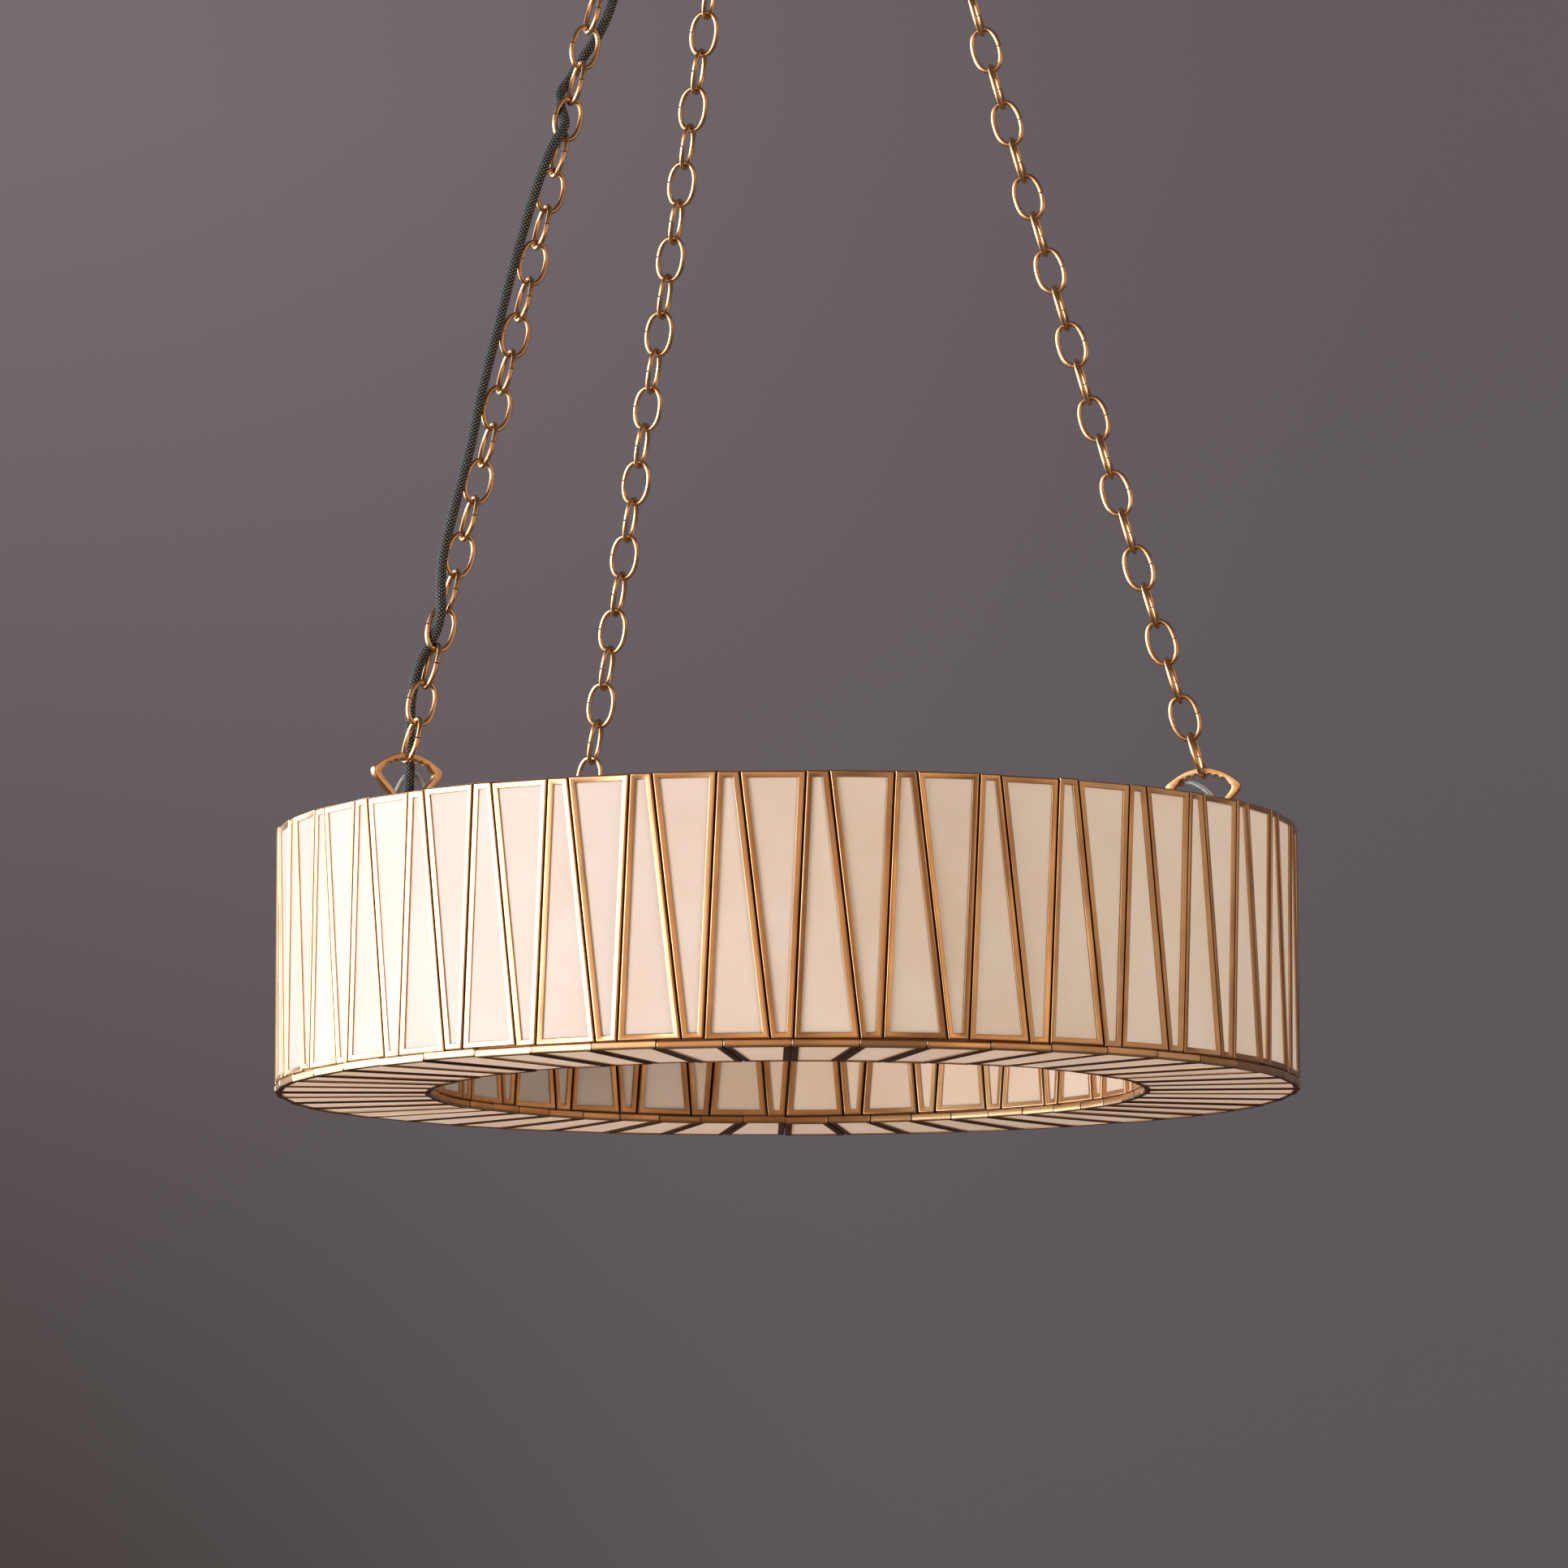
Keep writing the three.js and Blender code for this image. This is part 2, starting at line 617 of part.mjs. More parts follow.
function hub() {
  const bore = hub_stud_d / 2 + fit_gap;
  const skirt_low = hub_plate_high - hub_rim_depth;
  const skirt_r = hub_plate_r - hub_plate_thick;
  const profile = [
    [bore, hub_plate_low], [skirt_r, hub_plate_low], [skirt_r, skirt_low],
    [hub_plate_r, skirt_low], [hub_plate_r, hub_plate_high - hub_edge],
    [hub_plate_r - hub_edge, hub_plate_high], [bore, hub_plate_high], [bore, hub_plate_low],
  ];
  const cutter = (radius, sides) => {
    const corner_r = radius / Math.cos(Math.PI / sides);
    return disc(corner_r, 0, hub_plate_low - cut_overrun, hub_plate_high + cut_overrun, sides);
  };
  const sleeve_r = hub_hole_r + bushing_wall;
  const cutters = [cutter(sleeve_r + fit_gap, 14).translate(hub_hole.x, hub_hole.y, 0)];
  for (const turn of Object.values(hanger_deg)) {
    const place = around(hub_eye_r, turn + hub_turn_deg, 0);
    cutters.push(cutter(eye_stud_d / 2 + fit_gap, 8).translate(place.x, place.y, 0));
  }
  add("hub_plate", cut(turned(profile, 32), ...cutters), brass);

  const flange = sleeve_r + bushing_flange;
  const sleeve_low = hub_plate_low - fit_gap;
  const flange_low = hub_plate_high + fit_gap;
  const flange_high = flange_low + bushing_flange_thick;
  const bushing = turned(
    [
      [hub_hole_r, sleeve_low], [sleeve_r, sleeve_low], [sleeve_r, flange_low],
      [flange, flange_low], [flange, flange_high], [hub_hole_r, flange_high],
      [hub_hole_r, sleeve_low],
    ],
    14,
  );
  add("hub_bushing", bushing.translate(hub_hole.x, hub_hole.y, 0), black_plastic);
}

// Where a chain runs: its two ends, and its frame at a share of the way up.
function chainLine(side) {
  const low = around(hanger_r, hanger_deg[side], chain_low);
  const high = around(hub_eye_r, hanger_deg[side] + hub_turn_deg, chain_high);
  const whole = high.clone().sub(low);
  const along = whole.clone().normalize();
  const down = new THREE.Vector3(0, 0, -1);
  down.addScaledVector(along, -down.dot(along)).normalize();
  const outwards = around(1, hanger_deg[side], 0);
  const at = (share) => {
    const point = low.clone().addScaledVector(whole, share);
    point.addScaledVector(down, 4 * chain_sag * share * (1 - share));
    const up = whole.clone().addScaledVector(down, 4 * chain_sag * (1 - 2 * share)).normalize();
    const radial = outwards.clone().addScaledVector(up, -outwards.dot(up)).normalize();
    return { point, up, radial, across: up.clone().cross(radial) };
  };
  return { low, high, at };
}

function chain(side) {
  const line = chainLine(side);
  const half = link_length / 2;
  const wide = link_width / 2;
  const corners = [
    [link_end_width / 2, half], [wide, link_side_length / 2],
    [wide, -link_side_length / 2], [link_end_width / 2, -half],
    [-link_end_width / 2, -half], [-wide, -link_side_length / 2],
    [-wide, link_side_length / 2], [-link_end_width / 2, half],
  ];
  const links = [];
  for (let i = 0; i < link_count; i++) {
    const { point, up, radial, across } = line.at((i * link_step + half) / chain_run);
    const width = i % 2 === 0 ? across : radial;
    const flat = i % 2 === 0 ? radial : across;
    const outline = corners.map(([x, z]) =>
      point.clone().addScaledVector(width, x).addScaledVector(up, z),
    );
    links.push(bentWire(outline, flat, link_half));
  }
  add("chain_" + side, joined(...links), brass);
}

function hubEye(side) {
  const place = around(hub_eye_r, hanger_deg[side] + hub_turn_deg, 0);
  const ring = standingRing(eye_ring_r, eye_wire_d, eye_ring_z);
  const stud_high = hub_plate_high + eye_stud_above;
  const stud = disc(eye_stud_d / 2, 0, eye_ring_z + eye_ring_r, stud_high, 8);
  const shoulder_high = hub_plate_low - fit_gap;
  const shoulder = disc(eye_nut_r, 0, shoulder_high - eye_neck, shoulder_high, 10);
  const turn = radians(hanger_deg[side]);
  add("hub_eye_" + side, joined(ring, stud, shoulder).rotateZ(turn).translate(place.x, place.y, 0), brass);
}

function hangerLoop(side) {
  const arc = (apex, x) => apex - hanger_arc_drop * (x / hanger_half_width) ** 2;
  const arc_end = hanger_apex_rise - hanger_arc_drop;
  const waist = -frame_drop + fit_gap + hanger_boss_rise;
  const outer_half = hanger_arc_shares.map((share) => {
    const x = share * hanger_half_width;
    return [x, arc(hanger_apex_rise, x)];
  });
  outer_half.push([hanger_half_width, arc_end - hanger_tip_drop]);
  outer_half.push([hanger_half_width - hanger_shoulder_in, arc_end - hanger_shoulder_drop]);
  outer_half.push([hanger_boss_half, waist]);
  outer_half.push([hanger_boss_half, -frame_drop + fit_gap]);

  const inner_apex = hanger_apex_rise - hanger_band;
  const inner_wide = hanger_half_width - hanger_band;
  const inner_half = [[notch_seat_half, inner_apex]];
  for (let i = 1; i <= notch_count; i++) {
    const x = (i * notch_pitch) / 2;
    inner_half.push([x, arc(inner_apex, x) - (i % 2 === 1 ? notch_depth : 0)]);
  }
  inner_half.push([inner_wide - hanger_shoulder_in, arc_end - hanger_band]);
  inner_half.push([inner_wide - 2 * hanger_shoulder_in, arc_end - hanger_shoulder_drop]);
  inner_half.push([hanger_foot_half, waist + hanger_band]);

  const mirrored = (half) => half.map(([x, z]) => [-x, z]).reverse();
  const points = (list) => list.map(([x, z]) => new THREE.Vector2(x, z));
  const outline = points([[0, hanger_apex_rise], ...outer_half, ...mirrored(outer_half)]);
  const hole = points([...inner_half, ...mirrored(inner_half)]);
  const band = plate(outline, [hole], hanger_thick).translate(0, 0, -hanger_thick / 2);
  band.rotateX(Math.PI / 2);
  const stud_high = -frame_drop + fit_gap + cut_overrun;
  const stud = disc(hanger_stud_d / 2, 0, -frame_drop - hanger_stud_length, stud_high, 10);
  const turn = radians(hanger_deg[side] - 90);
  const place = around(hanger_r, hanger_deg[side], rim_z);
  const loop = joined(band, stud).rotateZ(turn).translate(place.x, place.y, place.z);
  add("hanger_loop_" + side, loop, brass);
  const nut_high = frame_low - fit_gap;
  const nut_body = nut(hanger_nut_r, hanger_stud_d / 2 + fit_gap, nut_high - hanger_nut_thick, nut_high);
  add("hanger_nut_" + side, nut_body.translate(place.x, place.y, 0), brass);
}

// Radii of the surfaces that the frame and the bottom glass lie between
const outer_glass_front = ring_r - came_thick - fit_gap;
const outer_glass_back = outer_glass_front - glass_thick;
const inner_glass_front = well_r + came_thick + fit_gap;
const inner_glass_back = inner_glass_front + glass_thick;
const outer_sag = outer_glass_back * (1 - Math.cos(((1 - outer_narrow_share) * Math.PI) / outer_pairs));
const fill_outer = outer_glass_back - outer_sag - fit_gap;
const fill_inner = inner_glass_back + fit_gap;

function lampDegrees(i) {
  return lamp_first_deg + (i * 360) / lamp_count;
}

// Every bar of the frame, with its width and the holes it needs.
function frameBars() {
  const bars = [];
  for (let i = 0; i < lamp_count; i++) bars.push({ turn: lampDegrees(i), width: lamp_bar_width });
  bars.push({ turn: hanger_deg.left + entry_bar_turn_deg, width: entry_bar_width });
  bars.push({ turn: hanger_deg.right, width: hanger_bar_width });
  bars.push({ turn: hanger_deg.back, width: hanger_bar_width });
  for (const bar of bars) bar.turn = ((bar.turn % 360) + 360) % 360;
  return bars.sort((a, b) => a.turn - b.turn);
}

function flat(point) {
  return new THREE.Vector2(point.x, point.y);
}

function topFrame() {
  const inner_corner = fill_inner / Math.cos(Math.PI / hoop_sides);
  const outline = circle(fill_outer, hoop_sides);
  const holes = [circle(inner_corner, hoop_sides)];
  const far = fill_outer - hoop_width;
  const near = inner_corner + hoop_width;
  const bars = frameBars();
  bars.forEach((bar, i) => {
    const next = bars[(i + 1) % bars.length];
    const wrap = i + 1 === bars.length ? 360 : 0;
    const window_points = [];
    for (const [radius, backwards] of [[far, false], [near, true]]) {
      const from = bar.turn + THREE.MathUtils.radToDeg(Math.asin(bar.width / 2 / radius));
      const to = next.turn + wrap - THREE.MathUtils.radToDeg(Math.asin(next.width / 2 / radius));
      const steps = Math.max(2, Math.round((to - from) / window_step_deg));
      const row = [];
      for (let k = 0; k <= steps; k++) row.push(flat(around(radius, from + ((to - from) * k) / steps, 0)));
      window_points.push(...(backwards ? row.reverse() : row));
    }
    holes.push(window_points);
  });
  const hole = (radius, turn) => roundHole(radius, 8, flat(around(hanger_r, turn, 0)));
  for (let i = 0; i < lamp_count; i++) holes.push(hole(nipple_d / 2 + fit_gap, lampDegrees(i)));
  for (const turn of Object.values(hanger_deg)) holes.push(hole(hanger_stud_d / 2 + fit_gap, turn));
  add("top_frame", plate(outline, holes, frame_thick).translate(0, 0, frame_low), dark_brass);
}

function ringWalls() {
  const outer_seams = wallSeams(outer_pairs, outer_narrow_share, outer_phase_deg, wall_lean_deg);
  const inner_seams = wallSeams(inner_pairs, inner_narrow_share, inner_phase_deg, 0);
  const outer_came = wallCame(outer_seams, ring_r, ring_r - came_thick, wall.top, wall.bottom);
  const inner_came = wallCame(inner_seams, well_r, well_r + came_thick, wall.top, wall.bottom);
  add("outer_came", outer_came, brass);
  add("inner_came", inner_came, brass);
  const walls = [
    ["outer_glass_", outer_seams, outer_glass_parts, outer_glass_front, outer_glass_back],
    ["inner_glass_", inner_seams, inner_glass_parts, inner_glass_front, inner_glass_back],
  ];
  for (const [name, seams, parts, front_r, back_r] of walls) {
    for (let i = 0; i < parts; i++) {
      const first = Math.round((i * seams.length) / parts);
      const last = Math.round(((i + 1) * seams.length) / parts);
      add(name + (i + 1), wallGlass(seams, first, last, front_r, back_r, wall), milk_glass);
    }
  }
}

function ringBase() {
  const pitch = 360 / base_panes;
  const back_z = base_z + base_came_thick;
  const corners = (from, to, z) => [
    around(ring_r, from, z), around(well_r, from, z), around(well_r, to, z), around(ring_r, to, z),
  ];
  const panes = [];
  for (let i = 0; i < base_panes; i++) {
    const from = base_phase_deg + i * pitch;
    panes.push({ front: corners(from, from + pitch, base_z), back: corners(from, from + pitch, back_z) });
  }
  add("bottom_came", cameLattice(panes), brass);
  const low = back_z + fit_gap;
  const near = fill_inner / Math.cos(radians(pitch / 2));
  for (let part = 0; part < base_glass_parts; part++) {
    const first = Math.round((part * base_panes) / base_glass_parts);
    const last = Math.round(((part + 1) * base_panes) / base_glass_parts);
    const row = (radius, z) => {
      const points = [];
      for (let i = first; i <= last; i++) {
        let turn = base_phase_deg + i * pitch;
        const end_gap = THREE.MathUtils.radToDeg(fit_gap / 2 / well_r);
        if (i === first) turn += end_gap;
        if (i === last) turn -= end_gap;
        points.push(around(radius, turn, z));
      }
      return points;
    };
    const run = glassRun(row(fill_outer, low + glass_thick), row(fill_outer, low),
      row(near, low + glass_thick), row(near, low));
    add("bottom_glass_" + (part + 1), run, milk_glass);
  }
}

// A porcelain lampholder hung through a bar by its nipple, with the bulb pointing down in it.
function lamp(i) {
  const place = around(hanger_r, lampDegrees(i), 0);
  const high = frame_low - fit_gap;
  const low = high - socket_length;
  const neck = nipple_d / 2;
  const profile = [
    [0, frame_high + nipple_above], [neck, frame_high + nipple_above], [neck, high],
    [socket_shoulder_r, high], [socket_r, high - socket_shoulder], [socket_r, low],
    [socket_bore_r, low], [socket_bore_r, low + socket_bore_depth], [0, low + socket_bore_depth],
  ];
  add("lamp_socket_" + (i + 1), turned(profile, 9).translate(place.x, place.y, 0), porcelain);
  const cap_high = low + socket_bore_depth - fit_gap;
  const glass_high = cap_high - bulb_cap_length;
  const tip = cap_high - bulb_length;
  const glass_run = glass_high - tip;
  const bulb_profile = [[0, cap_high], [bulb_cap_r, cap_high], [bulb_cap_r, glass_high]];
  for (const [wide, down] of bulb_outline_shares) {
    bulb_profile.push([bulb_r * wide, glass_high - glass_run * down]);
  }
  bulb_profile.push([0, tip]);
  add("bulb_" + (i + 1), turned(bulb_profile, 9).translate(place.x, place.y, 0), bulb_glass);
}

// Junction block and cord grip on the wide bar, where the flex ends.
function junction() {
  const turn = radians(hanger_left_deg + junction_turn_deg - 90);
  const { x, y } = junction_place;
  const block_low = frame_high + fit_gap;
  const block = new THREE.BoxGeometry(block_depth, block_length, block_height);
  block.rotateZ(turn).translate(x, y, block_low + block_height / 2);
  add("junction_block", block, white_plastic);
  const gland_low = block_low + block_height + fit_gap;
  const gland = nut(gland_r, gland_bore_r, gland_low, gland_low + gland_height);
  add("flex_gland", gland.translate(x, y, 0), black_plastic);
}

// The lamp wiring leaves the block, lies on the outer hoop, rises through the right hanger, and
// comes back through the left one over the block. Each point is [angle, radius, height above the rim].
const wire_rest = -frame_drop + turn_gap + harness_d / 2;
const hoop_wire_r = fill_outer - hoop_width / 2;
const harness_route = [
  [-61.9, 322.9, wire_rest], [-62, 329, wire_rest], [-63.5, 341, wire_rest], [-66.5, 353, wire_rest],
  [-71, 364, wire_rest], [-78, hoop_wire_r, wire_rest], [-98, hoop_wire_r, wire_rest],
  [-118, hoop_wire_r, wire_rest], [-138, hoop_wire_r, wire_rest], [-158, hoop_wire_r, wire_rest],
  [-178, hoop_wire_r, wire_rest], [-198, hoop_wire_r, wire_rest], [-218, hoop_wire_r, wire_rest],
  [-238, hoop_wire_r, wire_rest], [-258, hoop_wire_r, wire_rest], [-266, 366, wire_rest],
  [-272, 350, -17], [-277, 325, -10], [-281, 303, 3], [-284, 291, 14], [-285.8, 293.2, 21.5],
  [-288.2, 311.7, 24.6], [-290.5, 329.1, 16], [-294, 344, 0], [-298.5, 359, -14],
  [-304, 367, wire_rest], [-312, hoop_wire_r, wire_rest], [-330, hoop_wire_r, wire_rest],
  [-350, hoop_wire_r, wire_rest], [-370, hoop_wire_r, wire_rest], [-390, hoop_wire_r, wire_rest],
  [-402, 366, wire_rest], [-408, 352, wire_rest], [-413, 330, -15], [-416.5, 309, -9],
  [-419, 298, 2], [-420.6, 298.5, 12], [-421.5, 302.5, 20], [-422.6, 306, 28], [-423.2, 312, 26],
  [-423.6, 317, 17], [-424.4, 320, 5], [-425.3, 319, -6], [-425.6, 316, -13], [-424.2, 312.5, -15.2],
];

function wiring() {
  const flex_points = flex_route.map(([x, y, z]) => new THREE.Vector3(x, y, z));
  const flex_path = new THREE.CatmullRomCurve3(flex_points);
  const section = new THREE.Shape(circle(flex_d / 2, flex_sides));
  const flex = new THREE.ExtrudeGeometry(section, { steps: flex_steps, extrudePath: flex_path });
  add("supply_flex", flex, braid);
  const wires = harness_route.map(([turn, radius, rise]) => around(radius, turn, rim_z + rise));
  const harness = wire(wires, harness_d, harness_sides, harness_rings_per_point);
  add("wiring_harness", harness, white_plastic);
}

ceilingBar();
stem();
terminal();
canopy();
hangingLoops();
hub();
for (const side of Object.keys(hanger_deg)) {
  hubEye(side);
  chain(side);
  hangerLoop(side);
}
topFrame();
ringWalls();
ringBase();
for (let i = 0; i < lamp_count; i++) lamp(i);
junction();
wiring();

export default chandelier;
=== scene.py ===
from math import atan2, copysign, cos, dist, pi, radians, sin, sqrt

import bmesh
import bpy
from bpy.props import FloatProperty, FloatVectorProperty, IntProperty, PointerProperty
from mathutils import Matrix, Vector


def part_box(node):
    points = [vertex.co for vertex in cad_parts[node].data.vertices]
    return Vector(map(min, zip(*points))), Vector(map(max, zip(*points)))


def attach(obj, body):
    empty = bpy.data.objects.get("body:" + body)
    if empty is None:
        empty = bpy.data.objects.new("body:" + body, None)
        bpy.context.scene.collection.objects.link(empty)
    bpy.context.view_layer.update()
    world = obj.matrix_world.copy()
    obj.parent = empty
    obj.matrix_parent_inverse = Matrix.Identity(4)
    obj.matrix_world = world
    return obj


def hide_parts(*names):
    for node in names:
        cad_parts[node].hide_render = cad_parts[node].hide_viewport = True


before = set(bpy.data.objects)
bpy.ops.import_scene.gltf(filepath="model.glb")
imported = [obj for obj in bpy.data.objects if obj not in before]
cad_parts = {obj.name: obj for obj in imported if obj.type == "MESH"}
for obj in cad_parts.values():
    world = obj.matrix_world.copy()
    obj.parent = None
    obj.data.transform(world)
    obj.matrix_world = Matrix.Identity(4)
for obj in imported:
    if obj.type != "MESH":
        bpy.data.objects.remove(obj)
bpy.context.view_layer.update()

bl_info = {
    "name": "Ring chandelier",
    "version": (1, 0, 0),
    "blender": (4, 5, 0),
    "location": "View3D > Sidebar > Chandelier",
    "description": "Glass ring in brass came, with its hangers, chains, lamps and ceiling fitting",
    "category": "Object",
}

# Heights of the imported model, in metres, from the ceiling down
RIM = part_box("outer_came")[1].z
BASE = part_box("bottom_came")[0].z
FRAME_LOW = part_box("top_frame")[0].z
FRAME_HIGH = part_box("top_frame")[1].z
PLATE_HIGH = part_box("hub_plate")[1].z
SIDES = ("left", "right", "back")
MM = 0.001
# How much higher or lower than the frame's height each hanger is seated, in metres
SEAT = {"left": 0.0023, "right": -0.0029, "back": 0.0}
# How far the links of each chain hang turned about it, in degrees
TWIST = {"left": -6, "right": 4, "back": 41}
# The lens: its sensor's width in millimetres, and the focal length over the photo's width, in pixels
SENSOR = 36.0
FOCAL_SHARE = 10124 / 1932


def linear(code):
    """A linear colour from an sRGB hex code."""
    parts = [int(code[i : i + 2], 16) / 255 for i in (1, 3, 5)]
    return tuple(c / 12.92 if c <= 0.04045 else ((c + 0.055) / 1.055) ** 2.4 for c in parts)


def size(name, about, default):
    return FloatProperty(name=name, description=about, default=default, min=0, unit="LENGTH", precision=4)


def turn(name, about, default):
    return FloatProperty(name=name, description=about, default=radians(default), subtype="ANGLE")


def colour(name, about, code):
    return FloatVectorProperty(
        name=name, description=about, default=linear(code), subtype="COLOR", min=0, max=1
    )


def share(name, about, default):
    return FloatProperty(name=name, description=about, default=default, min=0, max=1, subtype="FACTOR")


def number(name, about, default):
    return IntProperty(name=name, description=about, default=default, min=1)


class ChandelierRing(bpy.types.PropertyGroup):
    outer_radius: size("Outer radius", "Face of the outer wall's came", 0.381)
    inner_radius: size("Open middle", "Face of the inner wall's came", 0.265)
    came_face: size("Came face", "Width that shows of one pane's edging", 0.005)
    came_depth: size("Came depth", "Depth of the edging round a wall pane", 0.0056)
    base_depth: size("Base came depth", "Depth of the edging round a bottom pane", 0.0055)
    wall_lip: size("Wall lip", "Thickness of the came's face on a wall pane", 0.00175)
    base_lip: size("Bottom lip", "Thickness of the came's face on a bottom pane", 0.0007)
    glass: size("Glass", "Thickness of the milk glass", 0.003)
    seam_gap: size("Seam gap", "What stays open between a seam and an edging", 0.00062)
    base_gap: size("Bottom gap", "What stays open between two bottom panes", 0.0007)
    play: size("Play", "How far a pane sits off its true place", 0.0005)
    outer_pairs: number("Outer pairs", "Pane pairs in the outer wall", 38)
    inner_pairs: number("Inner pairs", "Pane pairs in the inner wall", 28)
    base_panes: number("Bottom panes", "Panes in the bottom", 50)
    outer_narrow: share("Outer narrow share", "Narrow end of a pane over a pair's width", 0.256)
    inner_narrow: share("Inner narrow share", "Narrow end of a pane over a pair's width", 0.24)
    outer_first: turn("Outer first pane", "Middle of the pane at the front", 3.3)
    inner_first: turn("Inner first pane", "Middle of the first inner pane", 175.5)
    base_first: turn("Bottom first seam", "First radial seam", 0.4)
    outer_lean: turn("Outer lean", "Bottom edge of the outer wall against its top", 0.86)
    inner_lean: turn("Inner lean", "Bottom edge of the inner wall against its top", 0.0)


class ChandelierHanging(bpy.types.PropertyGroup):
    hanger_radius: size("Hanger circle", "Radius that the hangers stand on", 0.323)
    hanger_rise: size("Hanger rise", "Top of a hanger above the rim", 0.038)
    hanger_half: size("Hanger half width", "Half the width of a hanger", 0.0282)
    hanger_drop: size("Hanger arc drop", "From the arc's middle to its ends", 0.012)
    hanger_band: size("Hanger band", "Width of the hanger's band", 0.0042)
    hanger_thick: size("Hanger thickness", "Thickness of the cast hanger", 0.006)
    notch_pitch: size("Notch pitch", "Distance between levelling notches", 0.0053)
    notch_depth: size("Notch depth", "Depth of a levelling notch", 0.0023)
    link_wire: size("Link wire", "Wire diameter of a link", 0.0038)
    link_length: size("Link length", "Between wire centres", 0.03305)
    link_width: size("Link width", "Between wire centres", 0.02)
    link_joint: size("Link joint", "Open joint in each link", 0.001)
    links: number("Links", "Links in one chain", 28)
    chain_sag: size("Chain sag", "How far the chain hangs off its straight line", 0.004)
    eye_ring: size("Eye ring", "Radius of an eye, to its wire's centre", 0.007)
    eye_wire: size("Eye wire", "Wire diameter of an eye", 0.004)
    plate_radius: size("Hub plate radius", "Outer radius of the hub plate", 0.112)
    plate_thick: size("Hub plate", "Thickness of the hub plate", 0.003)


class ChandelierFitting(bpy.types.PropertyGroup):
    canopy_radius: size("Canopy radius", "Outer radius of the canopy", 0.065)
    canopy_wall: size("Canopy wall", "Sheet thickness of the canopy", 0.0012)
    canopy_flat: size("Canopy flat", "Radius where the rounded shoulder starts", 0.054)
    canopy_round: size("Canopy shoulder", "Height of the rounded shoulder", 0.013)
    canopy_bore: size("Canopy bore", "Radius of the hole for the threaded loop", 0.0133)
    loop_ring: size("Loop radius", "Radius of the hanging loops, to the wire's centre", 0.01)
    loop_wire: size("Loop wire", "Wire diameter of the hanging loops", 0.005)
    flex_diameter: size("Flex diameter", "Over its braid", 0.0075)
    flex_length: size("Flex length", "From the cord grip to the terminals", 0.992)
    wire_diameter: size("Lamp wire diameter", "Over its sleeve", 0.0038)
    bulb_radius: size("Bulb radius", "Widest part of a bulb", 0.0175)
    lamps: number("Lamps", "Lampholders round the ring", 8)
    lamp_first: turn("First lamp", "Place of the first lampholder", 5)


class ChandelierColours(bpy.types.PropertyGroup):
    brass: colour("Brass", "Rubbed antique brass", "#e0ae76")
    cast_brass: colour("Cast brass", "Paler alloy of the hangers and fittings", "#eebd82")
    tarnish: colour("Tarnish", "Brown patina on the brass", "#8a4f28")
    dull_brass: colour("Dull brass", "Unpolished frame inside the ring", "#8d6a3f")
    solder: colour("Solder", "Patinated solder", "#c0a27a")
    steel: colour("Steel", "Zinc plated steel", "#b4b5b2")
    glass: colour("Milk glass", "Satin milk glass", "#efe4d9")
    glass_cloud: colour("Glass clouds", "Denser clouds in the glass", "#f5efe9")
    porcelain: colour("Porcelain", "Glazed porcelain", "#ece9e2")
    bulb: colour("Bulb glass", "Frosted bulb", "#f6efe0")
    braid_dark: colour("Braid", "Cotton braid", "#1d1e1b")
    braid_light: colour("Braid fleck", "Light flecks in the braid", "#dcdacd")
    black: colour("Black plastic", "Moulded bushings and cord grip", "#232220")
    white: colour("White plastic", "Wire sleeve and junction block", "#e8e5de")


class ChandelierStage(bpy.types.PropertyGroup):
    camera_back: size("Camera distance", "From the ring's axis", 6.096)
    camera_below: size("Camera below rim", "Camera height under the rim", 0.7254)
    camera_pitch: turn("Camera pitch", "Upwards", 7.131)
    camera_yaw: turn("Camera yaw", "To the right", -0.017)
    camera_roll: turn("Camera roll", "Clockwise", -0.237)
    view_depth: size("View depth", "As far as the camera sees", 200.0)
    room_height: size("Room height", "Ceiling to floor", 9.0)
    floor_half: size("Floor half width", "From the middle of the floor to its edges", 80.0)
    floor: colour("Floor", "Pale floor", "#dcd8d3")
    back_high_left: colour("Background, upper left", "The world's colour there", "#776d71")
    back_high_right: colour("Background, upper right", "There and all round", "#625a5e")
    back_low_left: colour("Background, lower left", "The world's colour there", "#453e3b")
    back_low_right: colour("Background, lower right", "The world's colour there", "#5b565a")


GROUPS = {
    "chandelier_ring": ChandelierRing,
    "chandelier_hanging": ChandelierHanging,
    "chandelier_fitting": ChandelierFitting,
    "chandelier_colours": ChandelierColours,
    "chandelier_stage": ChandelierStage,
}


# Places and angles


def around(radius, angle, z=0.0):
    """The point at a radius, an angle in radians from the photographed side, and a height."""
    return Vector((radius * sin(angle), -radius * cos(angle), z))


def turns(count):
    """Equal angles, once round."""
    return [2 * pi * i / count for i in range(count)]


def centre(node):
    """Middle of a CAD node's box."""
    low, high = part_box(node)
    return (low + high) / 2


def axis_of(node):
    """The point at height 0 over or under a CAD node's middle."""
    return Vector((*centre(node).xy, 0))


def heights(node):
    """Lowest and highest point of a CAD node."""
    low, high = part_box(node)
    return low.z, high.z


def angle_of(node):
    """The angle round the ring of a CAD node's middle."""
    middle = centre(node)
    return atan2(middle.x, -middle.y)


def hanger_angle(side):
    return angle_of("hanger_nut_" + side)


def half_width(node):
    """Half of a CAD node's size along X."""
    low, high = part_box(node)
    return (high.x - low.x) / 2


# Meshes


def linked(name, data):
    """A new object in the scene."""
    made = bpy.data.objects.new(name, data)
    bpy.context.scene.collection.objects.link(made)
    return made


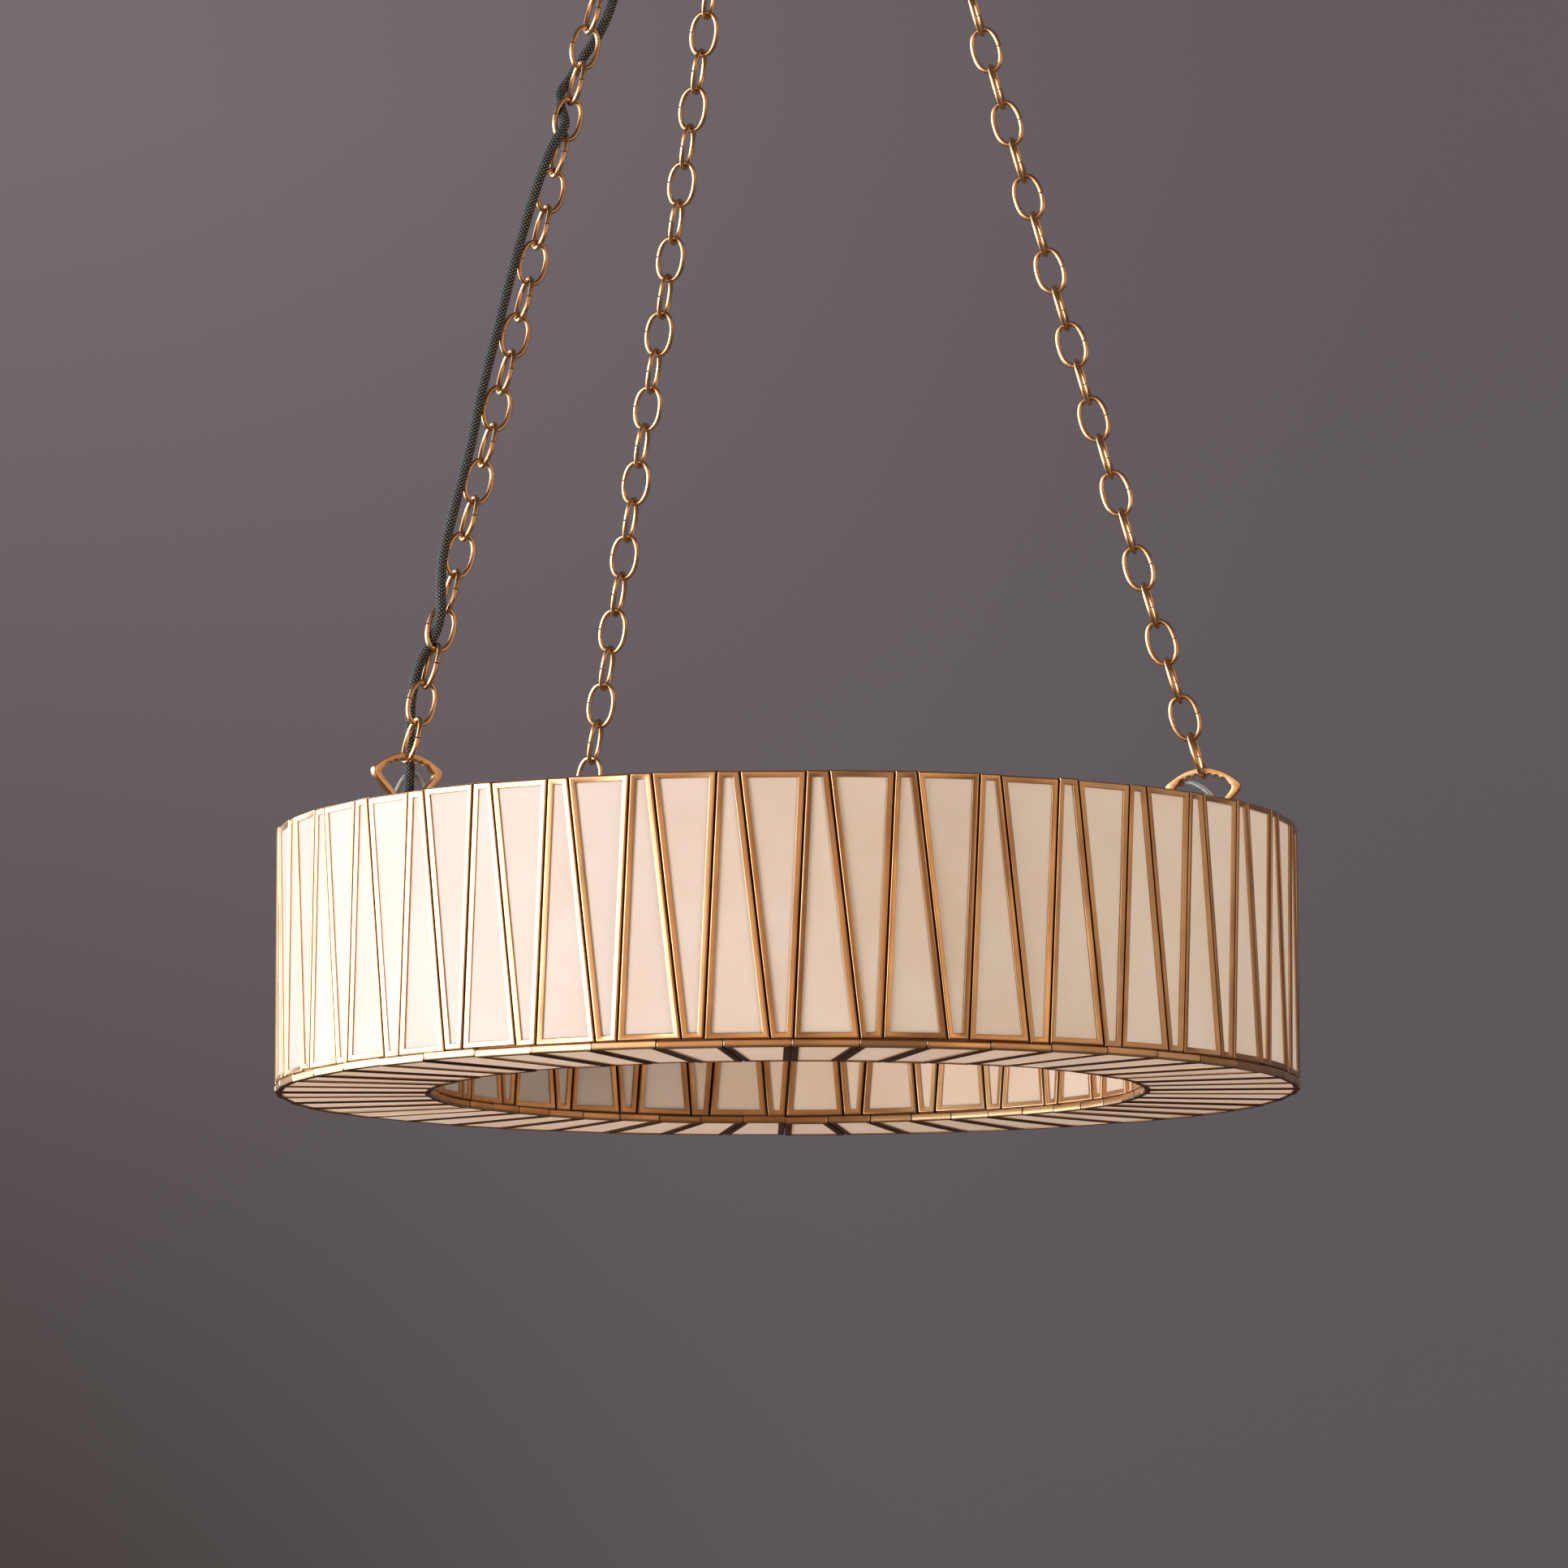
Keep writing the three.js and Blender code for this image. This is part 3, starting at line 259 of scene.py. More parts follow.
def face_out(mesh, merge=0.0):
    """Turns the faces out, after joining the corners that lie nearer than a distance."""
    work = bmesh.new()
    work.from_mesh(mesh)
    if merge:
        bmesh.ops.remove_doubles(work, verts=work.verts, dist=merge)
    bmesh.ops.recalc_face_normals(work, faces=work.faces)
    work.to_mesh(mesh)
    work.free()


def soften(mesh, sharp):
    """Smooth shading, apart from edges sharper than an angle in degrees."""
    mesh.shade_smooth()
    mesh.set_sharp_from_angle(angle=radians(sharp))


def mesh_object(name, points, faces, uvs=None, sharp=35, outward=True):
    """A smooth mesh object at the origin, with faces out and the sharp edges marked."""
    mesh = bpy.data.meshes.new(name)
    mesh.from_pydata([tuple(p) for p in points], [], faces)
    if uvs:
        layer = mesh.uv_layers.new(name="UVMap")
        for loop, pair in zip(layer.data, [pair for face in uvs for pair in face]):
            loop.uv = pair
    if outward:
        face_out(mesh)
    soften(mesh, sharp)
    return linked(name, mesh)


def evaluated(source, name):
    """The evaluated shape of an object as a plain mesh object. The source is removed."""
    bpy.context.view_layer.update()
    graph = bpy.context.evaluated_depsgraph_get()
    mesh = bpy.data.meshes.new_from_object(source.evaluated_get(graph), depsgraph=graph)
    bpy.data.objects.remove(source)
    if not mesh.polygons:
        raise RuntimeError(name + " came out empty")
    mesh.name = name
    return linked(name, mesh)


def joined(name, *parts):
    """Several mesh objects as one, with each one's materials."""
    first = parts[0]
    with bpy.context.temp_override(
        active_object=first, object=first, selected_editable_objects=list(parts)
    ):
        bpy.ops.object.join()
    first.name = name
    first.data.name = name
    return first


def quads(rows, sides, closed):
    """Faces between rows of points that each go once round, and from the last row to the first
    where they are closed."""
    faces = []
    for i in range(rows if closed else rows - 1):
        low, high = i * sides, (i + 1) % rows * sides
        for k in range(sides):
            m = (k + 1) % sides
            faces.append((low + k, low + m, high + m, high + k))
    return faces


def turned(name, profile, place=Vector(), segments=72, sharp=35):
    """A profile of (radius, height) turned about the vertical. It ends on the axis or is closed."""
    rows, points, faces = [], [], []
    for radius, z in profile:
        angles = turns(segments) if radius else [0]
        rows.append(range(len(points), len(points) + len(angles)))
        points += [place + around(radius, angle, z) for angle in angles]
    pairs = list(zip(rows, rows[1:]))
    if profile[0][0] or profile[-1][0]:
        pairs.append((rows[-1], rows[0]))
    for low, high in pairs:
        for i in range(segments):
            j = (i + 1) % segments
            face = [low[i % len(low)], low[j % len(low)], high[j % len(high)], high[i % len(high)]]
            face = list(dict.fromkeys(face))
            if len(face) > 2:
                faces.append(face)
    return mesh_object(name, points, faces, sharp=sharp)


def rounded(corners, radius, steps=4):
    """A profile with each corner (radius, height) rounded, apart from ends on the axis."""
    points = []
    count = len(corners)
    on_axis = corners[0][0] == 0 and corners[-1][0] == 0
    for i, corner in enumerate(corners):
        here = Vector(corner)
        if on_axis and i in (0, count - 1):
            points.append(tuple(here))
            continue
        before = Vector(corners[i - 1]) - here
        after = Vector(corners[(i + 1) % count]) - here
        reach = min(radius, before.length * 0.45, after.length * 0.45)
        start = here + before.normalized() * reach
        end = here + after.normalized() * reach
        for k in range(steps + 1):
            t = k / steps
            points.append(tuple(start * (1 - t) ** 2 + here * 2 * t * (1 - t) + end * t**2))
    return points


def lathe(name, corners, rounding, place=Vector(), segments=48, steps=4):
    """A turned piece with rounded corners."""
    return turned(name, rounded(corners, rounding, steps), place, segments)


def smooth_path(points, step):
    """A centripetal curve through the points, with one station about every step."""
    line = [Vector(p) for p in points]
    line = [line[0] * 2 - line[1]] + line + [line[-1] * 2 - line[-2]]
    stations = []
    for a, b, c, d in zip(line, line[1:], line[2:], line[3:]):
        gaps = [sqrt((q - p).length) for p, q in ((a, b), (b, c), (c, d))]
        leave = (b - a) / gaps[0] - (c - a) / (gaps[0] + gaps[1]) + (c - b) / gaps[1]
        arrive = (c - b) / gaps[1] - (d - b) / (gaps[1] + gaps[2]) + (d - c) / gaps[2]
        leave *= gaps[1]
        arrive *= gaps[1]
        count = max(1, round((c - b).length / step))
        for k in range(count):
            t = k / count
            near = b * (2 * t**3 - 3 * t**2 + 1) + leave * (t**3 - 2 * t**2 + t)
            stations.append(near + c * (3 * t**2 - 2 * t**3) + arrive * (t**3 - t**2))
    return stations + [line[-2]]


def tube(name, stations, radius, sides=16, closed=False, dome=True):
    """A round tube along stations, with its length in metres as V and its turn as U."""
    count = len(stations)
    aside = Vector((0.3, 0.5, 1)).normalized()
    if abs(aside.dot((stations[1] - stations[0]).normalized())) > 0.9:
        aside = Vector((1, 0.2, 0)).normalized()
    frames = []
    run = 0.0
    for i, place in enumerate(stations):
        if closed:
            along = (stations[(i + 1) % count] - stations[i - 1]).normalized()
        else:
            along = (stations[min(i + 1, count - 1)] - stations[max(i - 1, 0)]).normalized()
        aside = (aside - along * aside.dot(along)).normalized()
        if i:
            run += (place - stations[i - 1]).length
        frames.append((place, aside, along.cross(aside), along, run, radius))
    if dome and not closed:
        ends = []
        for place, side, across, along, run, _ in (frames[0], frames[-1]):
            outwards = along if run else -along
            for out, wide in ((0.275, 0.8), (0.4, 0.45)):
                ends.append((place + outwards * radius * out, side, across, along, run, radius * wide))
        frames = [ends[1], ends[0]] + frames + ends[2:]
    points = []
    for place, side, across, _, _, wide in frames:
        for angle in turns(sides):
            points.append(place + side * cos(angle) * wide + across * sin(angle) * wide)
    rows = len(frames)
    faces = quads(rows, sides, closed)
    uvs = []
    for i in range(rows if closed else rows - 1):
        low, high = frames[i][4], frames[(i + 1) % rows][4]
        if i == rows - 1:
            high = low + (stations[0] - stations[-1]).length
        for k in range(sides):
            left, right = k / sides, (k + 1) / sides
            uvs.append([(left, low), (right, low), (right, high), (left, high)])
    if not closed:
        for first in (0, (rows - 1) * sides):
            faces.append(tuple(range(first, first + sides)))
            uvs.append([(0.5, 0.0)] * sides)
    return mesh_object(name, points, faces, uvs, sharp=50)


def wire_ring(name, radius, wire, z, place=Vector(), angle=0.0, count=48, sides=16):
    """An upright ring of round wire round a point at a height, turned by an angle."""
    flat = Vector((cos(angle), sin(angle), 0))
    middle = place + Vector((0, 0, z))
    stations = [middle + flat * radius * sin(a) + Vector((0, 0, radius * cos(a))) for a in turns(count)]
    return tube(name, stations, wire / 2, sides, closed=True)


def oval(wide, high, power, angle):
    """The point at an angle on an oval with half this width and height. With a power under 1 its
    sides are straighter than an ellipse's."""
    c, s = cos(angle), sin(angle)
    return wide * copysign(abs(c) ** power, c), high * copysign(abs(s) ** power, s)


def cast_plate(name, outline, holes, thick, rounding, place=Vector()):
    """A flat plate in XY, half its thickness each way, with rounded edges."""
    curve = bpy.data.curves.new(name, "CURVE")
    curve.dimensions = "2D"
    curve.fill_mode = "BOTH"
    for loop in [outline] + holes:
        spline = curve.splines.new("POLY")
        spline.points.add(len(loop) - 1)
        for point, (x, y) in zip(spline.points, loop):
            point.co = (x, y, 0, 1)
        spline.use_cyclic_u = True
    curve.extrude = thick / 2 - rounding
    curve.bevel_depth = rounding
    curve.bevel_resolution = 2
    curve.offset = -rounding
    made = evaluated(linked(name, curve), name)
    bpy.data.curves.remove(curve)
    face_out(made.data, 1e-6)
    soften(made.data, 40)
    return placed(made, Matrix.Translation(place))


def circle(radius, count, x=0.0, y=0.0):
    return [(x + radius * cos(angle), y + radius * sin(angle)) for angle in turns(count)]


def oblong(x, y):
    """Corners of a rectangle with half this width and depth."""
    return [(-x, -y), (x, -y), (x, y), (-x, y)]


def placed(made, *steps):
    """The object with turns and moves applied to its mesh, in order."""
    for step in steps:
        made.data.transform(step)
    return made


def bored(made, x, y, radius):
    """The object with an upright round hole."""
    over = 2 * MM
    low = min(v.co.z for v in made.data.vertices) - over
    high = max(v.co.z for v in made.data.vertices) + over
    cutter = turned("cutter", [(0, low), (radius, low), (radius, high), (0, high)], Vector((x, y, 0)), 48)
    modifier = made.modifiers.new("bore", "BOOLEAN")
    modifier.object = cutter
    modifier.solver = "EXACT"
    name = made.name
    made.name = name + "_blank"
    finished = evaluated(made, name)
    bpy.data.objects.remove(cutter)
    soften(finished.data, 30)
    return finished


def inset_corners(corners, inset):
    """The corners of a flat four-sided pane, moved inwards by an inset."""
    moved = []
    for i, corner in enumerate(corners):
        onward = (corners[(i + 1) % 4] - corner).normalized()
        back = (corners[i - 1] - corner).normalized()
        moved.append(corner + (onward + back) * inset / onward.cross(back).length)
    return moved


def pane_normal(corners, outwards):
    normal = (corners[2] - corners[0]).cross(corners[3] - corners[1]).normalized()
    return normal if normal.dot(outwards) > 0 else -normal


def pane_edging(name, corners, outwards, section):
    """A came edging round one pane, with a closed section. Its last value tells where the darker
    came of painted shade goes: 1 on all four sides, 2 on the two towards the next panes."""
    normal = pane_normal(corners, outwards)
    points = []
    for inset, depth, _ in section:
        points += [corner - normal * depth for corner in inset_corners(corners, inset)]
    uvs = []
    across = 0.0
    for here, there in zip(section, section[1:] + section[:1]):
        step = dist(here[:2], there[:2])
        for k in range(4):
            run = (corners[(k + 1) % 4] - corners[k]).length
            uvs.append([(across, 0), (across, run), (across + step, run), (across + step, 0)])
        across += step
    edging = mesh_object(name, points, quads(len(section), 4, True), uvs, sharp=28)
    shaded = edging.data.attributes.new("shaded", "BOOLEAN", "FACE")
    # Faces that take the darker came as painted shade: on every side, or only towards the next panes
    kept = [whole == 1 or whole == 2 and k % 2 == 0 for _, _, whole in section for k in range(4)]
    shaded.data.foreach_set("value", kept)
    return edging


def pane_glass(name, corners, outwards, front, back):
    """A slab of glass in its edging, between two depths."""
    normal = pane_normal(corners, outwards)
    edge = inset_corners(corners, 1.3 * MM)
    points = [p - normal * front for p in edge] + [p - normal * back for p in edge]
    faces = [(0, 1, 2, 3), (7, 6, 5, 4)] + quads(2, 4, False)
    return mesh_object(name, points, faces, sharp=20)


# Nodes


def fill(tree, node, settings=None, links=None):
    """Sets a node's options and values, by name or socket number, and links it. A node that is
    given as a source stands for its first output."""
    for key, value in (settings or {}).items():
        if isinstance(key, int) or not hasattr(node, key):
            node.inputs[key].default_value = value
        else:
            setattr(node, key, value)
    for key, source in (links or {}).items():
        tree.links.new(getattr(source, "outputs", [source])[0], node.inputs[key])
    return node


def add_node(tree, kind, settings=None, links=None):
    """A new node with its settings and links."""
    return fill(tree, tree.nodes.new(kind), settings, links)


def start_tree(name, sockets):
    """A geometry node tree with its inputs, each a name and a kind of socket."""
    tree = bpy.data.node_groups.new(name, "GeometryNodeTree")
    for label, kind in sockets.items():
        tree.interface.new_socket(name=label, in_out="INPUT", socket_type="NodeSocket" + kind)
    tree.interface.new_socket(name="Geometry", in_out="OUTPUT", socket_type="NodeSocketGeometry")
    return tree, add_node(tree, "NodeGroupInput").outputs


def copies(tree, pattern, points, rotation, seed, shift=None):
    """Copies of an object on points, each marked with a chance value of its own."""
    source = add_node(tree, "GeometryNodeObjectInfo", links={"Object": pattern}).outputs["Geometry"]
    links = {"Points": points, "Instance": source, "Rotation": rotation}
    made = add_node(tree, "GeometryNodeInstanceOnPoints", links=links)
    if shift:
        links = {"Instances": made, "Translation": shift}
        made = add_node(tree, "GeometryNodeTranslateInstances", links=links)
    chance = add_node(tree, "FunctionNodeRandomValue", {"data_type": "FLOAT"}, {"Seed": seed})
    settings = {"data_type": "FLOAT", "domain": "INSTANCE", "Name": "piece"}
    links = {"Geometry": made, "Value": chance.outputs[1]}
    return add_node(tree, "GeometryNodeStoreNamedAttribute", settings, links)


def end_tree(tree, given, made):
    """Makes the copies real and gives them their material. A second material goes on the faces
    that are marked as shaded."""
    made = add_node(tree, "GeometryNodeRealizeInstances", links={0: made})
    links = {"Geometry": made, "Material": given["Material"]}
    made = add_node(tree, "GeometryNodeSetMaterial", links=links)
    if "Shaded material" in given:
        settings = {"data_type": "BOOLEAN", "Name": "shaded"}
        shaded = add_node(tree, "GeometryNodeInputNamedAttribute", settings)
        links = {"Geometry": made, "Selection": shaded, "Material": given["Shaded material"]}
        made = add_node(tree, "GeometryNodeSetMaterial", links=links)
    add_node(tree, "NodeGroupOutput", links={0: made})
    return tree


def ring_tree():
    """Node tree that sets one or two panes round a ring, each with a little play."""
    tree, given = start_tree("panes_round_a_ring", {
        "First pane": "Object", "Second pane": "Object", "Count": "Int", "First angle": "Float",
        "Play": "Vector", "Seed": "Int", "Material": "Material", "Shaded material": "Material",
    })
    points = add_node(tree, "GeometryNodePoints", links={"Count": given["Count"]})
    index = add_node(tree, "GeometryNodeInputIndex")
    pitch = add_node(tree, "ShaderNodeMath", {"operation": "DIVIDE", 0: 2 * pi}, {1: given["Count"]})
    links = {0: index, 1: pitch, 2: given["First angle"]}
    angle = add_node(tree, "ShaderNodeMath", {"operation": "MULTIPLY_ADD"}, links)
    euler = add_node(tree, "ShaderNodeCombineXYZ", links={"Z": angle})
    rotation = add_node(tree, "FunctionNodeEulerToRotation", links={0: euler})
    join = add_node(tree, "GeometryNodeJoinGeometry")
    for name, shift in (("First pane", 0.0), ("Second pane", 101.0)):
        settings = {"operation": "SCALE", "Scale": -1.0}
        least = add_node(tree, "ShaderNodeVectorMath", settings, {0: given["Play"]})
        seed = add_node(tree, "ShaderNodeMath", {"operation": "ADD", 1: shift}, {0: given["Seed"]})
        links = {0: least, 1: given["Play"], "Seed": seed}
        place = add_node(tree, "FunctionNodeRandomValue", {"data_type": "FLOAT_VECTOR"}, links)
        marked = copies(tree, given[name], points, rotation, seed, place)
        tree.links.new(marked.outputs[0], join.inputs[0])
    return end_tree(tree, given, join)


def chain_tree():
    """Node tree that sets a link on each point, turned by the point's own two directions."""
    sockets = {"Points": "Geometry", "Link": "Object", "Seed": "Int", "Material": "Material"}
    tree, given = start_tree("links_along_a_chain", sockets)
    along, across = [
        add_node(tree, "GeometryNodeInputNamedAttribute", {"data_type": "FLOAT_VECTOR", "Name": name})
        for name in ("along", "across")
    ]
    settings = {"primary_axis": "Z", "secondary_axis": "X"}
    rotation = add_node(tree, "FunctionNodeAxesToRotation", settings, {0: along, 1: across})
    return end_tree(tree, given, copies(tree, given["Link"], given["Points"], rotation, given["Seed"]))


def grown(name, tree, holder, values):
    """The result of a node tree as a plain mesh object. Each value is set by its socket's name."""
    modifier = holder.modifiers.new(name, "NODES")
    modifier.node_group = tree
    for item in tree.interface.items_tree:
        if item.in_out == "INPUT" and item.name in values:
            modifier[item.identifier] = values[item.name]
    return evaluated(holder, name)


# Finishes

FINISHES = {}


def rgba(value, factor=1.0):
    """A colour for a socket, times a factor."""
    return (*[c * factor for c in value], 1.0)


def start_material(name):
    """A material, its tree, its main shader and its texture coordinates by kind."""
    made = bpy.data.materials.new(name)
    made.use_nodes = True
    tree = made.node_tree
    return made, tree, tree.nodes["Principled BSDF"], add_node(tree, "ShaderNodeTexCoord").outputs


def by_piece(tree, factor):
    """The copy's own chance value, and that value times a factor, to shift a pattern."""
    piece = add_node(tree, "ShaderNodeAttribute", {"attribute_name": "piece"}).outputs["Fac"]
    return piece, add_node(tree, "ShaderNodeMath", {"operation": "MULTIPLY", 1: factor}, {0: piece})


def aged_brass(name, light, dark, roughness, patch, streak=None, lacquer=0.5):
    """Brass under a rubbed brown patina: bright where hands rub it, brown in patches, with fine
    scratches under a lacquer. The patch and streak sizes are in metres."""
    made, tree, shader, place = start_material(name)
    offset = by_piece(tree, 37.0)[1]
    settings = {"noise_dimensions": "4D", "Scale": 1 / patch, "Detail": 3.0, "Roughness": 0.5}
    clouds = add_node(tree, "ShaderNodeTexNoise", settings, {"Vector": place["Object"], "W": offset})
    settings = {"From Min": 0.4, "From Max": 0.68, "To Min": 0.08, "To Max": 0.48}
    cover = add_node(tree, "ShaderNodeMapRange", settings, {"Value": clouds})
    grain = 260.0
    scale = (1 / streak, 0.04 / streak, 1.0) if streak else (grain, grain, grain)
    links = {"Vector": place["UV" if streak else "Object"]}
    line = add_node(tree, "ShaderNodeMapping", {"vector_type": "POINT", "Scale": scale}, links)
    settings = {"noise_dimensions": "4D", "Scale": 1.0, "Detail": 3.0, "Roughness": 0.6}
    scratches = add_node(tree, "ShaderNodeTexNoise", settings, {"Vector": line, "W": offset})
    settings = {"operation": "MULTIPLY_ADD", 1: 0.3, 2: -0.15}
    worn = add_node(tree, "ShaderNodeMath", settings, {0: scratches})
    amount = add_node(tree, "ShaderNodeMath", {"operation": "ADD", "use_clamp": True}, {0: cover, 1: worn})
    settings = {"data_type": "RGBA", 6: light, 7: dark}
    paint = add_node(tree, "ShaderNodeMix", settings, {0: amount}).outputs[2]
    settings = {"To Min": roughness - 0.06, "To Max": roughness + 0.14}
    shine = add_node(tree, "ShaderNodeMapRange", settings, {"Value": amount})
    relief = add_node(tree, "ShaderNodeBump", {"Strength": 0.06, "Distance": 0.0002}, {"Height": scratches})
    settings = {"Metallic": 1.0, "Coat Weight": lacquer, "Coat Roughness": 0.22}
    fill(tree, shader, settings, {"Base Color": paint, "Roughness": shine, "Normal": relief})
    return made


def milk_glass(name, pale, cloud):
    """Opal sheet glass, acid-etched on the face: even and milky with soft clouds, a satin sheen
    and the slow waves of rolled sheet."""
    made, tree, shader, place = start_material(name)
    piece, offset = by_piece(tree, 19.0)
    links = {"Vector": place["Object"], "W": offset}
    settings = {"noise_dimensions": "4D", "Scale": 14.0, "Detail": 2.0, "Roughness": 0.45}
    clouds = add_node(tree, "ShaderNodeTexNoise", settings, links)
    depth = add_node(tree, "ShaderNodeMapRange", {"From Min": 0.35, "From Max": 0.65}, {"Value": clouds})
    settings = {"data_type": "RGBA", 6: pale, 7: cloud}
    paint = add_node(tree, "ShaderNodeMix", settings, {0: depth}).outputs[2]
    tone = add_node(tree, "ShaderNodeMapRange", {"To Min": 0.95, "To Max": 1.03}, {"Value": piece})
    toned = add_node(tree, "ShaderNodeHueSaturation", links={"Color": paint, "Value": tone})
    settings = {"noise_dimensions": "4D", "Scale": 32.0, "Detail": 1.0}
    waves = add_node(tree, "ShaderNodeTexNoise", settings, links)
    relief = add_node(tree, "ShaderNodeBump", {"Strength": 0.25, "Distance": 0.0006}, {"Height": waves})
    settings = {
        "Roughness": 0.46, "Specular IOR Level": 0.2, "IOR": 1.5, "Subsurface Weight": 0.35,
        "Subsurface Radius": (0.004, 0.0034, 0.0028), "Subsurface Scale": 1.0,
    }
    fill(tree, shader, settings, {"Base Color": toned, "Normal": relief})
    return made


def moulded(name, tint, roughness, ior, grain, depth):
    """A moulded or cast dielectric: one colour that wavers a little, under a fine skin texture.
    The grain and its depth are in metres."""
    made, tree, shader, place = start_material(name)
    links = {"Vector": place["Object"]}
    waver = add_node(tree, "ShaderNodeTexNoise", {"Scale": 60.0, "Detail": 2.0}, links)
    settings = {"data_type": "RGBA", 6: rgba(tint, 0.86), 7: rgba(tint)}
    paint = add_node(tree, "ShaderNodeMix", settings, {0: waver}).outputs[2]
    skin = add_node(tree, "ShaderNodeTexNoise", {"Scale": 1 / grain, "Detail": 2.0}, links)
    relief = add_node(tree, "ShaderNodeBump", {"Strength": 0.3, "Distance": depth}, {"Height": skin})
    settings = {"To Min": roughness - 0.04, "To Max": roughness + 0.06}
    shine = add_node(tree, "ShaderNodeMapRange", settings, {"Value": waver})
    fill(tree, shader, {"IOR": ior}, {"Base Color": paint, "Roughness": shine, "Normal": relief})
    return made


def braid(name, dark, light, threads, pitch):
    """Cotton braid: slanting threads that cross, with a light fleck at each crown. The number of
    threads is once round, and their pitch along the flex is in metres."""
    made, tree, shader, place = start_material(name)
    parts = add_node(tree, "ShaderNodeSeparateXYZ", links={0: place["UV"]}).outputs
    wrap = add_node(tree, "ShaderNodeMath", {"operation": "MULTIPLY", 1: threads}, {0: parts["X"]})
    run = add_node(tree, "ShaderNodeMath", {"operation": "DIVIDE", 1: pitch}, {0: parts["Y"]})
    waves = {}
    for key, sign in enumerate(("ADD", "SUBTRACT")):
        wave = add_node(tree, "ShaderNodeMath", {"operation": sign}, {0: wrap, 1: run})
        for step, value in (("PINGPONG", 0.5), ("MULTIPLY", 2.0)):
            wave = add_node(tree, "ShaderNodeMath", {"operation": step, 1: value}, {0: wave})
        waves[key] = wave
    crown = add_node(tree, "ShaderNodeMath", {"operation": "MULTIPLY"}, waves)
    fleck = add_node(tree, "ShaderNodeMapRange", {"From Min": 0.42, "From Max": 0.62}, {"Value": crown})
    links = {"Vector": place["Object"]}
    fuzz = add_node(tree, "ShaderNodeTexNoise", {"Scale": 900.0, "Detail": 2.0}, links)
    amount = add_node(tree, "ShaderNodeMath", {"operation": "MULTIPLY"}, {0: fleck, 1: fuzz})
    settings = {"data_type": "RGBA", 6: rgba(dark), 7: rgba(light)}
    paint = add_node(tree, "ShaderNodeMix", settings, {0: amount}).outputs[2]
    relief = add_node(tree, "ShaderNodeBump", {"Strength": 0.8, "Distance": 0.0005}, {"Height": crown})
    fill(tree, shader, {"Roughness": 0.8}, {"Base Color": paint, "Normal": relief})
    return made


def make_finishes():
    """Every finish of the object, kept by name."""
    tint = bpy.context.scene.chandelier_colours
    brass, tarnish, dull, steel = (rgba(c) for c in (tint.brass, tint.tarnish, tint.dull_brass, tint.steel))
    # Patch and streak of the came's patina, in metres
    strip = (0.05, 0.0016)
    FINISHES.update(
        # Rolled brass U-came, patinated after soldering: rubbed bright, streaked along the strip
        came=aged_brass("antique_brass_came", brass, tarnish, 0.34, *strip),
        # The same came with its brown patina, darkened further as painted shade in its grooves and
        # underneath
        under=aged_brass(
            "patinated_brass_came", rgba(tint.tarnish, 0.6), rgba(tint.tarnish, 0.26), 0.58, *strip, 0.0
        ),
        # Sand-cast brass, tumbled: soft edges and an even warm patina
        cast=aged_brass(
            "cast_antique_brass", rgba(tint.cast_brass), rgba(tint.tarnish, 1.3), 0.34, 0.03
        ),
        # Drawn brass wire, bent and tumbled: the smoothest and brightest of the brasses
        wire=aged_brass("drawn_brass_wire", brass, tarnish, 0.3, 0.045),
        # Spun brass sheet under lacquer
        spun=aged_brass("spun_antique_brass", brass, tarnish, 0.32, 0.08),
        # Flat bar inside the ring, left dull
        bar=aged_brass("dull_brass_bar", dull, rgba(tint.dull_brass, 0.5), 0.5, 0.06, None, 0.0),
        # Tin solder under brass patina
        solder=aged_brass("patinated_solder", rgba(tint.solder), tarnish, 0.4, 0.02),
        # Zinc plated mild steel: pale, faintly mottled grey
        steel=aged_brass("zinc_plated_steel", steel, rgba(tint.steel, 0.6), 0.38, 0.03, None, 0.0),
        # Opal sheet glass, etched to a satin face
        glass=milk_glass("satin_milk_glass", rgba(tint.glass), rgba(tint.glass_cloud)),
        # Frosted soft glass: a dull white skin
        bulb=moulded("frosted_bulb_glass", tint.bulb, 0.32, 1.5, 0.0008, 0.00002),
        # Glazed electrical porcelain: dense white under a clear wet glaze
        porcelain=moulded("glazed_porcelain", tint.porcelain, 0.16, 1.55, 0.004, 0.00004),
        # Moulded nylon, fine spark-eroded skin
        black=moulded("black_moulded_nylon", tint.black, 0.45, 1.53, 0.0006, 0.00006),
        # Soft white vinyl, extruded or moulded
        white=moulded("white_vinyl", tint.white, 0.4, 1.52, 0.0012, 0.00005),
        # Black cotton braid with light flecks
        braid=braid("cotton_braid", tint.braid_dark, tint.braid_light, 7.0, 0.0028),
    )


def dress(made, finish, *nodes, slot="brass", body="hanging_ring"):
    """Gives a piece its finish and its body, and hides the CAD nodes that it stands for."""
    if finish:
        made.data.materials.append(FINISHES[finish])
    if nodes:
        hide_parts(*nodes)
    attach(made, body)


# The ring


def came_section(points, face, lip, deep):
    """A came's section in metres, from its outer side in millimetres. Each point is (inset from
    the seam, depth behind the face, where the darker came of painted shade goes from here on)."""
    web, inner, back = 1.2, face * 0.8, deep - 0.8
    points += [(face, lip, 0), (web, lip, 0), (web, back, 0), (inner, back, 0), (inner, deep, 0)]
    return [(inset * MM, depth * MM, whole) for inset, depth, whole in points]


